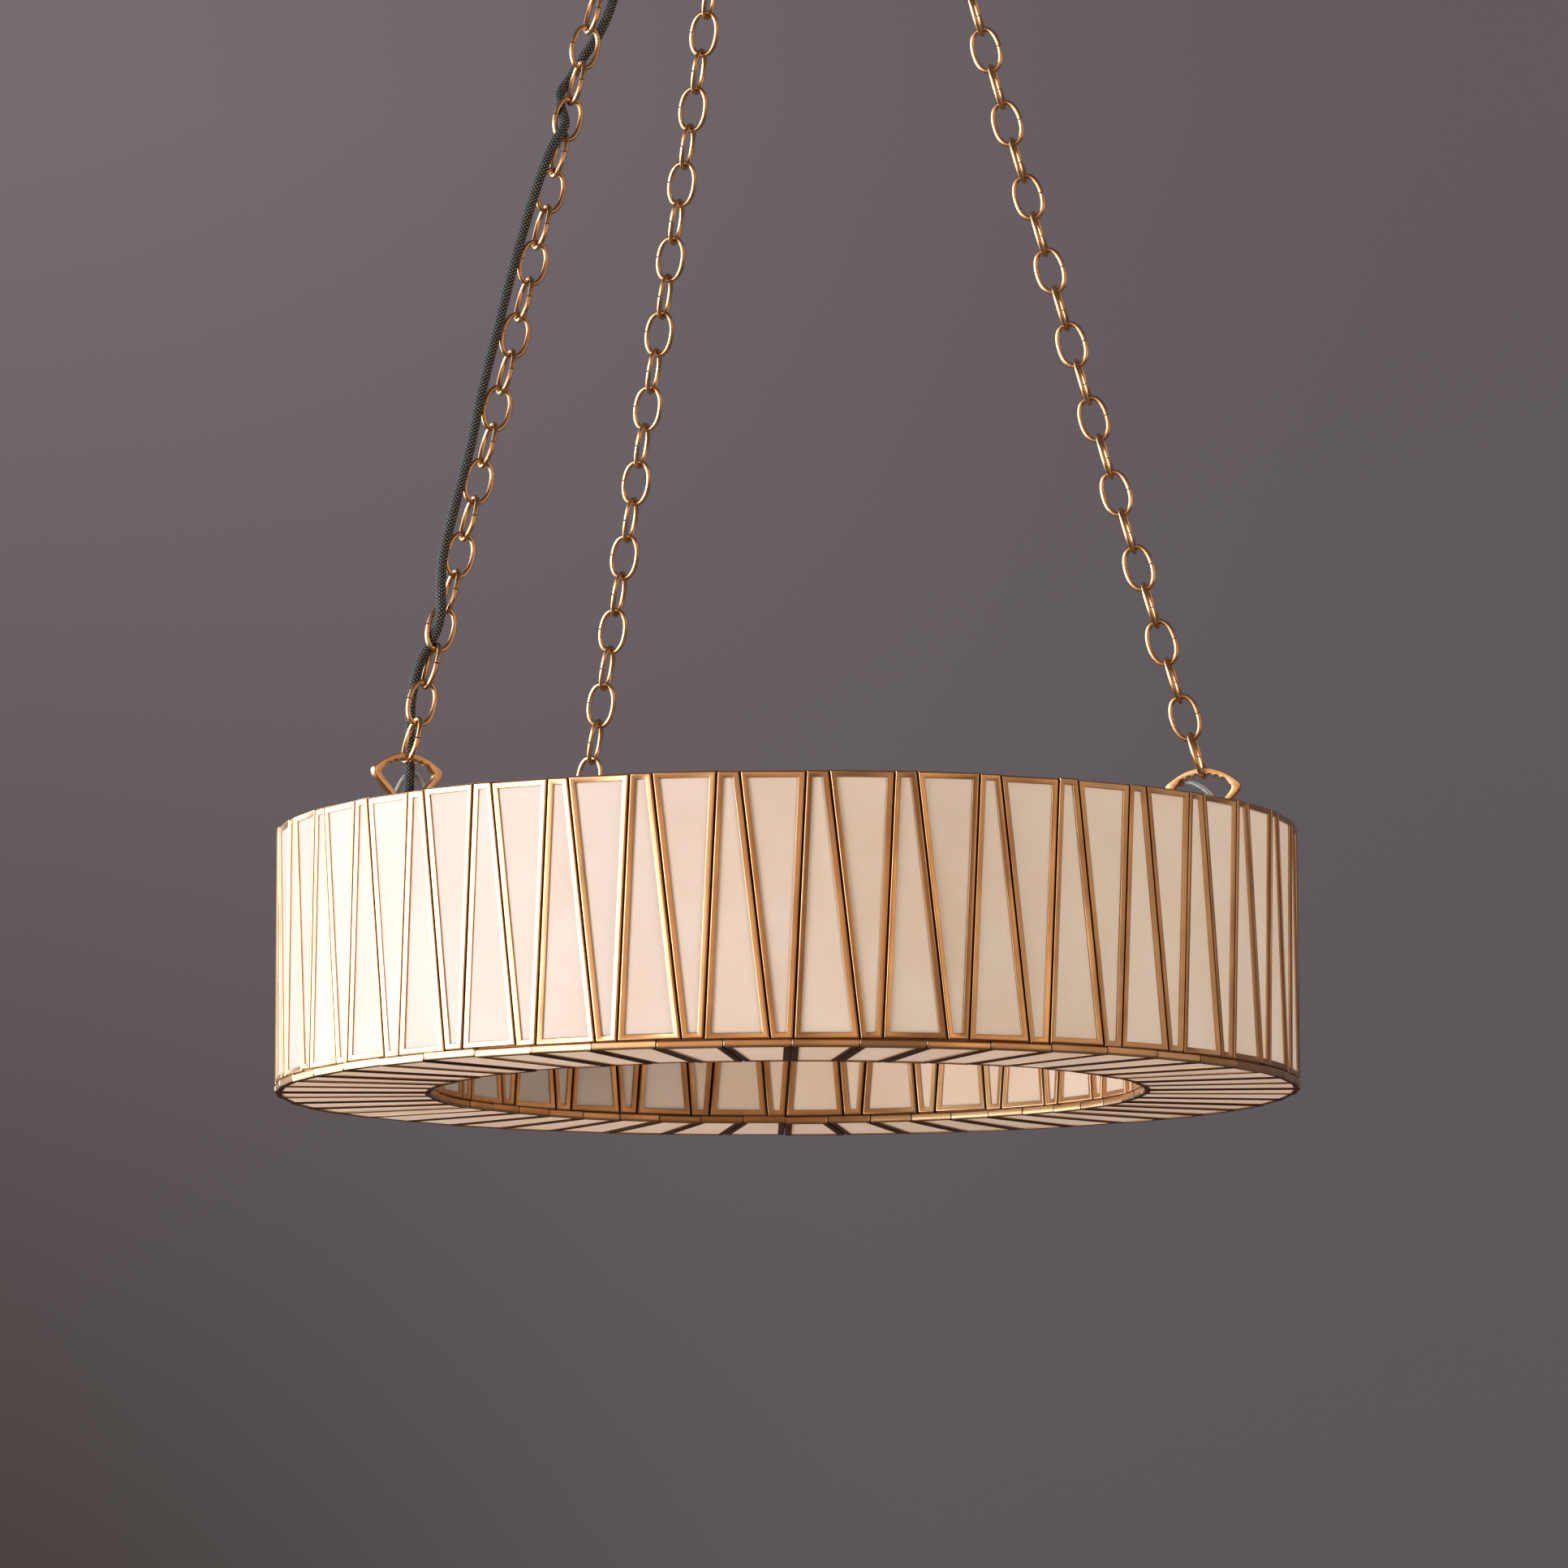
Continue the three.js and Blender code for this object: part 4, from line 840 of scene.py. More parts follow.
def wall_section(ring):
    """U-shaped came on its side: a rounded outer edge, and a face that slopes to the glass."""
    values = (ring.seam_gap, ring.came_face, ring.came_depth, ring.wall_lip)
    gap, face, deep, lip = [value / MM for value in values]
    # The groove towards the next pane, marked 2, takes the darker came as painted shade
    return came_section([
        (0, deep, 2), (0, 2.6, 2), (gap, 2.3, 2), (gap, 1.3, 2), (gap + 0.1, 0.75, 0),
        (gap + 0.36, 0.32, 0), (gap + 0.75, 0.06, 0), (gap + 1.15, 0, 0), (gap + 1.4, 0.03, 0),
        (face * 0.9, 0.58, 0), (face * 0.97, 0.75, 0), (face, 1, 0),
    ], face, lip, deep)


def base_section(ring):
    """Came of the bottom panes: its rounded back shows as the lowest band of the ring."""
    face, deep, lip = [value / MM for value in (ring.came_face, ring.base_depth, ring.base_lip)]
    # The flat underside, marked 1, takes the darker came on every side as painted shade; rows marked 2 take
    # it only towards the next panes
    return came_section([
        (0.9, deep, 2), (0.3, deep - 0.4, 2), (0.05, deep - 1.1, 2), (0, deep - 1.4, 2), (0, 1.4, 2),
        (0.05, 1.1, 2), (0.3, 0.4, 2), (0.9, 0.06, 1), (1.5, 0, 1), (face * 0.86, 0, 1),
        (face * 0.95, 0.1, 2), (face, 0.35, 0),
    ], face, lip, deep)


def wall_pair(radius, pairs, narrow, lean, top, bottom):
    """Corners of a narrow-top pane and of the wide-top pane beside it."""
    pitch = 2 * pi / pairs

    def seam(side, step=0):
        upper = step * pitch + side * narrow * pitch / 2
        lower = step * pitch + lean + side * (1 - narrow) * pitch / 2
        return around(radius, upper, top), around(radius, lower, bottom)

    seams = seam(-1), seam(1), seam(-1, 1)
    return [[first[0], first[1], second[1], second[0]] for first, second in zip(seams, seams[1:])]


def bead(place, outwards, wide, high, proud):
    """A drop of solder across a joint."""
    side = Vector((0, 0, 1)).cross(outwards).normalized()
    rise = outwards.cross(side).normalized()
    count = 8
    points = [place + outwards * proud]
    for across, lift in ((0.6, 0.8), (1.0, 0.0)):
        for angle in turns(count):
            spot = place + side * wide / 2 * across * cos(angle)
            spot += rise * high / 2 * across * sin(angle)
            points.append(spot + outwards * proud * lift)
    points.append(place - outwards * proud)
    faces = []
    for k in range(count):
        m = (k + 1) % count
        faces.append((0, 1 + k, 1 + m))
        faces.append((1 + k, 1 + count + k, 1 + count + m, 1 + m))
        faces.append((1 + count + k, 2 * count + 1, 1 + count + m))
    return mesh_object("bead", points, faces, sharp=80)


def set_round(name, patterns, count, first, play, seed, *materials):
    """One or two patterns set round the ring, as one object. The patterns are removed."""
    tree = bpy.data.node_groups.get("panes_round_a_ring") or ring_tree()
    values = {"Count": count, "First angle": first, "Play": play, "Seed": seed}
    values.update(zip(("First pane", "Second pane"), patterns))
    values.update(zip(("Material", "Shaded material"), materials))
    holder = linked(name + "_holder", bpy.data.meshes.new(name + "_holder"))
    made = grown(name, tree, holder, values)
    for pattern in patterns:
        bpy.data.objects.remove(pattern)
    return made


def ring_group(prefix, node, stretches, panes, outwards, section, lip, count, first, ring, seed):
    """Came and glass of one wall, or of the bottom, from one or two patterns."""
    names = [prefix + "_pattern_" + str(i) for i in range(len(panes))]
    patterns = [pane_edging(label, pane, outwards, section) for label, pane in zip(names, panes)]
    play = (0.0, ring.play / 2, ring.play)
    # The second finish, the darker came of painted shade, goes on the faces marked as shaded
    finishes = FINISHES["came"], FINISHES["under"]
    came = set_round(prefix + "_came", patterns, count, first, play, seed, *finishes)
    patterns = [
        pane_glass(label, pane, outwards, lip, lip + ring.glass) for label, pane in zip(names, panes)
    ]
    finishes = FINISHES["glass"], FINISHES["under"]
    glass = set_round(prefix + "_glass", patterns, count, first, (0.0, 0.0, 0.0), seed, *finishes)
    dress(came, None, node + "_came", slot="came")
    nodes = [node + "_glass_" + str(i + 1) for i in range(stretches)]
    dress(glass, None, *nodes, slot="milk_glass")


def make_wall(ring, side, stretches, outwards, seed):
    """Outer or inner wall: tapered panes in came, narrow and wide tops in turn."""
    keys = ("_radius", "_pairs", "_narrow", "_lean", "_first")
    radius, pairs, narrow, lean, first = [getattr(ring, side + key) for key in keys]
    panes = wall_pair(radius, pairs, narrow, lean, RIM, BASE + ring.base_depth - 0.2 * MM)
    ring_group(
        side + "_wall", side, stretches, panes, outwards, wall_section(ring), ring.wall_lip,
        pairs, first, ring, seed,
    )


class CHANDELIER_OT_stage(bpy.types.Operator):
    """Camera, floor, background and soft light"""

    bl_idname = "chandelier.stage"
    bl_label = "Stage"

    def execute(self, context):
        given = context.scene.chandelier_stage
        pitch, yaw, roll = given.camera_pitch, given.camera_yaw, given.camera_roll
        level = cos(pitch)
        forward = Vector((sin(yaw) * level, cos(yaw) * level, sin(pitch)))
        right = Vector((cos(yaw), -sin(yaw), 0))
        up = right.cross(forward)
        rolled = right * cos(roll) + up * sin(roll)
        rolled_up = up * cos(roll) - right * sin(roll)
        lens = bpy.data.cameras.new("camera")
        lens.sensor_width = SENSOR
        lens.lens = SENSOR * FOCAL_SHARE
        lens.clip_end = given.view_depth
        camera = linked("camera", lens)
        facing = Matrix((rolled, rolled_up, -forward)).transposed().to_4x4()
        place = Matrix.Translation((0, -given.camera_back, RIM - given.camera_below))
        camera.matrix_world = place @ facing
        context.scene.camera = camera
        context.scene.view_settings.view_transform = "Standard"

        corners = [(x, y, -given.room_height) for x, y in oblong(given.floor_half, given.floor_half)]
        floor = mesh_object("floor", corners, [(0, 1, 2, 3)], outward=False)
        floor.data.materials.append(self.floor_paint(given.floor))
        self.light_room()
        self.light_world(context.scene, given)
        return {"FINISHED"}

    def floor_paint(self, tint):
        """Matt pale floor paint."""
        made, tree, shader, place = start_material("pale_floor_paint")
        cloud = add_node(tree, "ShaderNodeTexNoise", {"Scale": 3.0}, {"Vector": place["Object"]})
        settings = {"data_type": "RGBA", 6: rgba(tint, 0.96), 7: rgba(tint)}
        paint = add_node(tree, "ShaderNodeMix", settings, {0: cloud}).outputs[2]
        fill(tree, shader, {"Roughness": 0.7}, {"Base Color": paint})
        return made

    def light_room(self):
        """Large soft lamps: bright cool panels at the left, low warm ones at the right, in front
        and below, which the satin brass and the glass mirror."""
        aim = Vector((0, 0, (RIM + BASE) / 2))
        for name, place, wide, high, power, tint, rays in (
            ("key", (-5.3, -2.0, -0.6), 2.4, 3.5, 124.0, (0.54, 0.72, 1.0), "both"),
            ("left_panel", (-4.2, -1.2, -0.5), 6.0, 3.4, 350.0, (0.74, 0.87, 1.0), "glossy"),
            ("back_panel", (-3.2, 1.4, -0.5), 2.9, 3.4, 110.0, (0.8, 0.9, 1.0), "glossy"),
            ("front_panel", (-1.6, -7.4, 0.6), 7.0, 5.2, 96.0, (1.0, 0.66, 0.42), "glossy"),
            ("right_front", (3.9, -4.4, -0.1), 2.0, 2.4, 22.0, (1.0, 0.7, 0.42), "glossy"),
            ("right_panel", (5.6, -1.2, 0.2), 6.0, 4.6, 42.0, (1.0, 0.86, 0.76), "both"),
            ("right_fill", (4.9, -3.8, -0.4), 2.0, 2.0, 160.0, (1.0, 0.77, 0.58), "diffuse"),
            ("low_fill", (-2.75, -1.9, -2.25), 1.8, 1.0, 94.0, (1.0, 0.72, 0.52), "diffuse"),
            ("floor_bounce", (-0.4, -0.2, -3.6), 3.0, 3.0, 36.0, (1.0, 0.7, 0.55), "diffuse"),
            ("back_fill", (0.5, 2.0, 1.0), 1.6, 1.0, 18.0, (1.0, 0.76, 0.52), "diffuse"),
        ):
            data = bpy.data.lights.new(name, "AREA")
            data.shape = "RECTANGLE"
            data.size, data.size_y = wide, high
            data.energy = power
            data.color = tint
            lamp = linked(name, data)
            lamp.visible_camera = False
            lamp.visible_diffuse = rays != "glossy"
            lamp.visible_glossy = rays != "diffuse"
            facing = (aim - Vector(place)).to_track_quat("-Z", "Y").to_matrix().to_4x4()
            lamp.matrix_world = Matrix.Translation(place) @ facing

    def light_world(self, scene, given):
        """The background where it is seen or mirrored, and a faint warm light from all round."""
        scene.world = scene.world or bpy.data.worlds.new("room")
        scene.world.use_nodes = True
        tree = scene.world.node_tree
        tree.nodes.clear()
        links = {"Color": self.backdrop(tree, given)}
        shown = add_node(tree, "ShaderNodeBackground", {"Strength": 1.0}, links)
        ambient = add_node(
            tree, "ShaderNodeBackground", {"Color": (1.0, 0.92, 0.84, 1.0), "Strength": 0.18}
        )
        ray = add_node(tree, "ShaderNodeLightPath").outputs
        seen = ray["Is Camera Ray"]
        for kind in ("Is Glossy Ray", "Is Transmission Ray"):
            seen = add_node(tree, "ShaderNodeMath", {"operation": "MAXIMUM"}, {0: seen, 1: ray[kind]})
        mix = add_node(tree, "ShaderNodeMixShader", links={0: seen, 1: ambient, 2: shown})
        add_node(tree, "ShaderNodeOutputWorld", links={"Surface": mix})

    def backdrop(self, tree, given):
        """Mauve-grey background, lighter towards the upper left, as seen from the photographed
        side. Each step goes from one colour to the next between two values of the direction."""
        place = add_node(tree, "ShaderNodeTexCoord").outputs["Generated"]
        parts = add_node(tree, "ShaderNodeSeparateXYZ", links={0: place}).outputs

        def across(axis, low, high, first, second, kind="SMOOTHSTEP"):
            settings = {"interpolation_type": kind, "From Min": low, "From Max": high}
            part = add_node(tree, "ShaderNodeMapRange", settings, {"Value": parts[axis]})
            mix = add_node(tree, "ShaderNodeMix", {"data_type": "RGBA"}, {0: part})
            for key, value in ((6, first), (7, second)):
                if isinstance(value, bpy.types.NodeSocket):
                    tree.links.new(value, mix.inputs[key])
                else:
                    mix.inputs[key].default_value = rgba(value)
            return mix.outputs[2]

        upper = across("X", -0.111, 0.088, given.back_high_left, given.back_high_right)
        lower = across("X", -0.117, 0.018, given.back_low_left, given.back_low_right)
        behind = across("Z", 0.025, 0.204, lower, upper, "LINEAR")
        return across("Y", 0.9, 0.965, given.back_high_right, behind)


# The flex's route in metres, from the cord grip to the terminals inside the canopy
FLEX_ROUTE = [
    (-0.2755, -0.147, -0.939), (-0.2755, -0.147, -0.929), (-0.275, -0.147, -0.911),
    (-0.2745, -0.1475, -0.894), (-0.2745, -0.148, -0.877), (-0.274, -0.1495, -0.860),
    (-0.270, -0.151, -0.841), (-0.264, -0.149, -0.824), (-0.256, -0.152, -0.810),
    (-0.252, -0.157, -0.796), (-0.252, -0.155, -0.780), (-0.251, -0.151, -0.756),
    (-0.243, -0.144, -0.718), (-0.232, -0.136, -0.673), (-0.223, -0.127, -0.626),
    (-0.212, -0.118, -0.579), (-0.202, -0.111, -0.536), (-0.191, -0.106, -0.495),
    (-0.181, -0.102, -0.462), (-0.172, -0.097, -0.438), (-0.163, -0.089, -0.419),
    (-0.166, -0.078, -0.404), (-0.167, -0.069, -0.392), (-0.159, -0.062, -0.378),
    (-0.149, -0.060, -0.361), (-0.138, -0.059, -0.344), (-0.129, -0.056, -0.322),
    (-0.119, -0.051, -0.283), (-0.107, -0.044, -0.234), (-0.094, -0.036, -0.185),
    (-0.079, -0.024, -0.147), (-0.066, -0.014, -0.124), (-0.062, -0.012, -0.104),
    (-0.056, -0.008, -0.084), (-0.046, -0.002, -0.062), (-0.040, 0.0, -0.042),
    (-0.040, 0.0, -0.026), (-0.040, 0.0, -0.012),
]


class CHANDELIER_OT_flex(bpy.types.Operator):
    """Braided supply flex, from the ring to the canopy"""

    bl_idname = "chandelier.flex"
    bl_label = "Supply flex"

    def execute(self, context):
        fitting = context.scene.chandelier_fitting
        stations = smooth_path(FLEX_ROUTE, 0.0025)
        flex = tube("flex", stations, fitting.flex_diameter / 2, sides=20)
        dress(flex, "braid", "supply_flex", slot="braid")
        return {"FINISHED"}


class CHANDELIER_OT_outer_wall(bpy.types.Operator):
    """Outer wall: tapered milk glass panes, each in its own brass came"""

    bl_idname = "chandelier.outer_wall"
    bl_label = "Outer wall"

    def execute(self, context):
        make_wall(context.scene.chandelier_ring, "outer", 4, Vector((0, -1, 0)), 3)
        return {"FINISHED"}


class CHANDELIER_OT_inner_wall(bpy.types.Operator):
    """Inner wall round the open middle"""

    bl_idname = "chandelier.inner_wall"
    bl_label = "Inner wall"

    def execute(self, context):
        make_wall(context.scene.chandelier_ring, "inner", 2, Vector((0, 1, 0)), 11)
        return {"FINISHED"}


class CHANDELIER_OT_base(bpy.types.Operator):
    """Bottom of the ring: radial panes in came, and the solder between them"""

    bl_idname = "chandelier.base"
    bl_label = "Bottom"

    def execute(self, context):
        ring = context.scene.chandelier_ring
        count, first = ring.base_panes, ring.base_first
        pitch = 2 * pi / count
        outer, well = ring.outer_radius, ring.inner_radius
        aside = ring.base_gap / 2
        corners = [
            around(outer, aside / outer, BASE), around(well, aside / well, BASE),
            around(well, pitch - aside / well, BASE), around(outer, pitch - aside / outer, BASE),
        ]
        ring_group(
            "base", "bottom", 3, [corners], Vector((0, 0, -1)), base_section(ring), ring.base_lip,
            count, first, ring, 23,
        )
        # The drops sit just beside the joints, at half the came's height
        shift = 0.003
        high = ring.base_depth * 0.9
        middle = BASE + ring.base_depth / 2
        outer_place = around(outer - 0.2 * MM, shift, middle)
        inner_place = around(well + 0.2 * MM, shift, middle)
        patterns = [
            bead(outer_place, Vector((0, -1, 0)), 1.5 * MM, high, 0.5 * MM),
            bead(inner_place, Vector((0, 1, 0)), 1.4 * MM, high, 0.4 * MM),
        ]
        play = (0.0003, 0.0001, 0.0002)
        beads = set_round("solder_beads", patterns, count, first, play, 31, FINISHES["solder"])
        dress(beads, None, slot="came")
        return {"FINISHED"}


# Hangers and chains


def mirrored(points):
    """Half an outline with its mirror image, in metres from millimetres."""
    whole = points + [(-x, z) for x, z in reversed(points) if x > 0]
    return [(x * MM, z * MM) for x, z in whole]


def hanger_outline(given):
    """Outline and notched opening of a hanger, as (across, height above the rim). The shapes are
    drawn in millimetres: insets from the widest place, and depths under the ends of the arc."""
    names = ("rise", "half", "drop", "band")
    rise, half, drop, band = [getattr(given, "hanger_" + name) / MM for name in names]
    pitch, depth = given.notch_pitch / MM, given.notch_depth / MM
    frame_high = (FRAME_HIGH - RIM) / MM
    end = rise - drop

    def arc(apex, x):
        return x, apex - drop * (x / half) ** 2

    def flank(insets, widths):
        return [(half - inset, end - below) for inset, below in insets] + [
            (wide, end - below) for wide, below in widths
        ]

    outline = [(0.0, rise)] + [arc(rise, half * 0.96 * i / 14) for i in range(1, 15)]
    outline += flank(
        ((0.3, -0.1), (-0.1, 1.2), (-0.1, 2.7), (0.5, 4.5), (1.8, 6.6), (3.9, 9.0), (7.0, 12.0),
         (10.5, 15.6)),
        ((12.6, 20.6), (9.4, 25.4), (7.6, 30.4)),
    )
    outline += [(7.0, frame_high + 7.3), (7.0, frame_high + 0.3)]

    # Notches, from the middle of one out to the end of the third beside it
    opening = []
    steps = 6
    for i in range(21):
        x, z = arc(rise - band, pitch * i / steps)
        t = i / steps - round(i / steps)
        opening.append((x, z - depth * (1 - sqrt(1 - (2 * t) ** 2 * 0.98))))
    opening += flank(
        ((8.4, 0.9), (6.9, 2.0), (6.3, 3.2), (6.9, 4.8), (9.0, 7.6), (12.0, 10.7)),
        ((12.6, 14.4), (8.2, 20.4), (4.2, 26.0), (1.6, 28.0)),
    )
    return mirrored(outline), mirrored(opening)


def hex_nut(name, node, corner, bore, place, finish="cast", **kind):
    """A hexagonal nut in the place of its CAD node."""
    low, high = heights(node)
    thick = high - low
    middle = Vector((place.x, place.y, (low + high) / 2))
    rounding = min(0.5 * MM, thick / 4)
    nut = cast_plate(name, circle(corner, 6), [circle(bore, 24)], thick, rounding, middle)
    dress(nut, finish, node, **kind)


class CHANDELIER_OT_hangers(bpy.types.Operator):
    """Cast hangers with levelling notches, and their nuts"""

    bl_idname = "chandelier.hangers"
    bl_label = "Hangers"

    def execute(self, context):
        given = context.scene.chandelier_hanging
        outline, hole = hanger_outline(given)
        for side in SIDES:
            node = "hanger_loop_" + side
            angle = hanger_angle(side)
            foot = around(given.hanger_radius, angle)
            band = placed(
                cast_plate("band", outline, [hole], given.hanger_thick, 0.7 * MM),
                Matrix.Rotation(pi / 2, 4, "X"),
                Matrix.Rotation(angle - pi / 2, 4, "Z"),
                Matrix.Translation(foot + Vector((0, 0, RIM + SEAT[side]))),
            )
            low, top, wide = heights(node)[0], FRAME_HIGH + 2 * MM, 3 * MM
            stud = lathe("stud", [(0, low), (wide, low), (wide, top), (0, top)], 0.5 * MM, foot, 32)
            dress(joined("hanger_" + side, band, stud), "cast", node)
            name = "hanger_nut_piece_" + side
            hex_nut(name, "hanger_nut_" + side, 6.35 * MM, 3.2 * MM, foot)
        return {"FINISHED"}


def link_pattern(given):
    """One oval link of round wire, with an open butt joint in one side."""
    stations = []
    count = 40
    opening = given.link_joint / 2
    for i in range(count + 1):
        x, z = oval(given.link_width / 2, given.link_length / 2, 2 / 2.25, 2 * pi * i / count)
        z = {0: opening, count: -opening}.get(i, z)
        stations.append(Vector((x, 0, z)))
    return tube("link_pattern", stations, given.link_wire / 2, sides=12, dome=False)


class CHANDELIER_OT_chains(bpy.types.Operator):
    """Three chains of oval wire links"""

    bl_idname = "chandelier.chains"
    bl_label = "Chains"

    def execute(self, context):
        given = context.scene.chandelier_hanging
        tree = chain_tree()
        link = link_pattern(given)
        for order, side in enumerate(SIDES):
            mesh = bpy.data.meshes.new("chain_points")
            places, ups, acrosses = self.stations(given, side)
            mesh.from_pydata(places, [], [])
            for name, vectors in (("along", ups), ("across", acrosses)):
                attribute = mesh.attributes.new(name, "FLOAT_VECTOR", "POINT")
                attribute.data.foreach_set("vector", [c for v in vectors for c in v])
            values = {"Link": link, "Seed": 5 + order, "Material": FINISHES["wire"]}
            made = grown("links_" + side, tree, linked("chain_points", mesh), values)
            dress(made, None, "chain_" + side)
        bpy.data.objects.remove(link)
        return {"FINISHED"}

    def stations(self, given, side):
        """Each link's place, its direction up the chain and the one across it. The links bear on
        the hanger's arc and on the eye, and those near an end turn less."""
        angle = hanger_angle(side)
        hook = RIM + SEAT[side] + given.hanger_rise - given.hanger_band
        reach = given.link_wire / 2 + 0.2 * MM
        low = around(given.hanger_radius, angle, hook - reach)
        high = axis_of("hub_eye_" + side)
        high.z = heights("hub_eye_" + side)[0] + given.eye_wire + reach
        whole = high - low
        run = whole.length
        along = whole.normalized()
        down = Vector((0, 0, -1))
        down = (down - along * down.dot(along)).normalized()
        outwards = around(1, angle)
        last = given.links - 1
        step = (run - given.link_length) / last
        bow = 4 * given.chain_sag
        rows = []
        for i in range(given.links):
            t = (i * step + given.link_length / 2) / run
            place = low + whole * t + down * bow * t * (1 - t)
            up = (whole + down * bow * (1 - 2 * t)).normalized()
            radial = (outwards - up * outwards.dot(up)).normalized()
            first = radial if i % 2 else up.cross(radial)
            lean = radians(TWIST[side]) * min(1, 0.5 + 0.25 * min(i, last - i))
            rows.append((place, up, first * cos(lean) + up.cross(first) * sin(lean)))
        return zip(*rows)


# Hub plate, canopy and ceiling fixing


def bushing(node, bore, sleeve, flange_up, **kind):
    """A flanged bushing in the place of its CAD node."""
    low, high = heights(node)
    flange = half_width(node)
    thick = 1.6 * MM
    if not flange_up:
        low, high, thick = high, low, -thick
    profile = [
        (bore, low), (sleeve, low), (sleeve, high - thick), (flange, high - thick), (flange, high),
        (bore, high),
    ]
    made = lathe(node + "_piece", profile, 0.5 * MM, axis_of(node))
    dress(made, "black", node, slot="black_plastic", **kind)


class CHANDELIER_OT_hub(bpy.types.Operator):
    """Hub plate with its eyes, loop, nut and bushing"""

    bl_idname = "chandelier.hub"
    bl_label = "Hub plate"

    def execute(self, context):
        given = context.scene.chandelier_hanging
        high = PLATE_HIGH
        low = high - given.plate_thick
        skirt = heights("hub_plate")[0]
        wide, bore = given.plate_radius, 3.9 * MM
        inner = wide - 3 * MM
        profile = [(bore, low), (inner, low), (inner, skirt), (wide, skirt), (wide, high), (bore, high)]
        entry = axis_of("hub_bushing")
        plate = bored(lathe("hub_disc", profile, 1.4 * MM, segments=128), entry.x, entry.y, 8.8 * MM)
        dress(plate, "spun", "hub_plate")
        for side in SIDES:
            self.eye(side, given, low, high)
        self.loop(context.scene.chandelier_fitting, high)
        hex_nut("hub_nut_piece", "hub_loop_nut", 9 * MM, 4.1 * MM, Vector())
        bushing("hub_bushing", 7 * MM, 8.6 * MM, True)
        return {"FINISHED"}

    def eye(self, side, given, low, high):
        """An eye under the plate, with its neck through it and a cap nut above."""
        node = "hub_eye_" + side
        bottom, top = heights(node)
        place = axis_of(node)
        ring_z = bottom + given.eye_wire / 2 + given.eye_ring
        angle = hanger_angle(side)
        ring = wire_ring("eye", given.eye_ring, given.eye_wire, ring_z, place, angle, 40, 14)
        foot = ring_z + given.eye_ring - 0.8 * MM
        profile = [
            (0, foot), (2.2 * MM, foot), (2.6 * MM, low - 2.4 * MM), (5.4 * MM, low - 1.8 * MM),
            (5.4 * MM, low), (2.5 * MM, low), (2.5 * MM, top), (0, top),
        ]
        neck = lathe("neck", profile, 0.5 * MM, place, 36)
        profile = [
            (0, high), (4.6 * MM, high), (4.6 * MM, high + 2.2 * MM), (3.4 * MM, high + 5.2 * MM),
            (0, top),
        ]
        dome = lathe("cap_nut", profile, 1.2 * MM, place, 36)
        dress(joined("hub_eye_piece_" + side, ring, neck, dome), "cast", node)

    def loop(self, fitting, high):
        """The loop that the hub hangs by, with its shoulder on the plate."""
        bottom, top = heights("hub_loop")
        ring_z = top - fitting.loop_wire / 2 - fitting.loop_ring
        ring = wire_ring("hub_ring", fitting.loop_ring, fitting.loop_wire, ring_z)
        foot = ring_z - fitting.loop_ring
        profile = [
            (0, foot), (4.4 * MM, foot), (7.8 * MM, high + 2.6 * MM), (8 * MM, high),
            (3.9 * MM, high), (3.9 * MM, bottom), (0, bottom),
        ]
        shoulder = lathe("hub_shoulder", profile, 0.8 * MM)
        dress(joined("hub_loop_piece", ring, shoulder), "cast", "hub_loop")


class CHANDELIER_OT_canopy(bpy.types.Operator):
    """Canopy, its bushing and the collar that holds it"""

    bl_idname = "chandelier.canopy"
    bl_label = "Canopy"

    def execute(self, context):
        given = context.scene.chandelier_fitting
        low, high = heights("canopy")
        wall, wide, flat = given.canopy_wall, given.canopy_radius, given.canopy_flat
        bore, deep = given.canopy_bore, given.canopy_round
        outside, inside = [], []
        for angle in [i * pi / 2 / 12 for i in range(13)]:
            x, z = flat + (wide - flat) * sin(angle), low + deep
            outside.append((x, z - deep * cos(angle)))
            inside.append((x - wall, z - (deep - wall) * cos(angle)))
        lip = [(wide, high - 0.6 * MM), (wide - 0.5 * MM, high), (wide - wall, high)]
        profile = [(bore, low)] + outside + lip + inside[::-1] + [(bore, low + wall)]
        entry = axis_of("canopy_bushing")
        pan = bored(turned("canopy_pan", profile, segments=128), entry.x, entry.y, 12.3 * MM)
        dress(pan, "spun", "canopy", body="canopy_cover")
        bushing("canopy_bushing", 10.4 * MM, 12 * MM, False, body="canopy_cover")
        self.collar(bore)
        return {"FINISHED"}

    def collar(self, bore):
        """Knurled screw collar."""
        low, high = heights("canopy_collar")
        outer = half_width("canopy_collar")
        corners = [
            (bore, low), (outer - 1.2 * MM, low), (outer, low + 1.4 * MM), (outer, high - 1.4 * MM),
            (outer - 1.2 * MM, high), (bore, high),
        ]
        corners = rounded(corners, 0.4 * MM, 3)
        knurls = 60
        segments = knurls * 4
        points = []
        for radius, z in corners:
            bite = 0.35 * MM if radius > outer - 0.7 * MM else 0
            for i, angle in enumerate(turns(segments)):
                depth = bite * (0.5 - 0.5 * cos(pi * i / 2))
                points.append(around(radius - depth, angle, z))
        collar = mesh_object("collar", points, quads(len(corners), segments, True), sharp=40)
        dress(collar, "cast", "canopy_collar", body="screw_collar")


def threaded(name, low, high, radius, pitch):
    """A rod with a thread, drawn as close rings, and chamfered ends."""
    chamfer = 0.8 * MM
    start = 0.7 * MM
    root = radius - 0.3 * pitch
    profile = [(0, low), (radius - chamfer, low), (root, low + start)]
    z = low + start
    while z + pitch < high - start:
        profile += [(radius, z + pitch * 0.4), (radius, z + pitch * 0.6), (root, z + pitch)]
        z += pitch
    profile += [(radius - chamfer, high), (0, high)]
    return turned(name, profile, segments=48, sharp=50)


STEEL = {"slot": "steel", "body": "ceiling_fixing"}


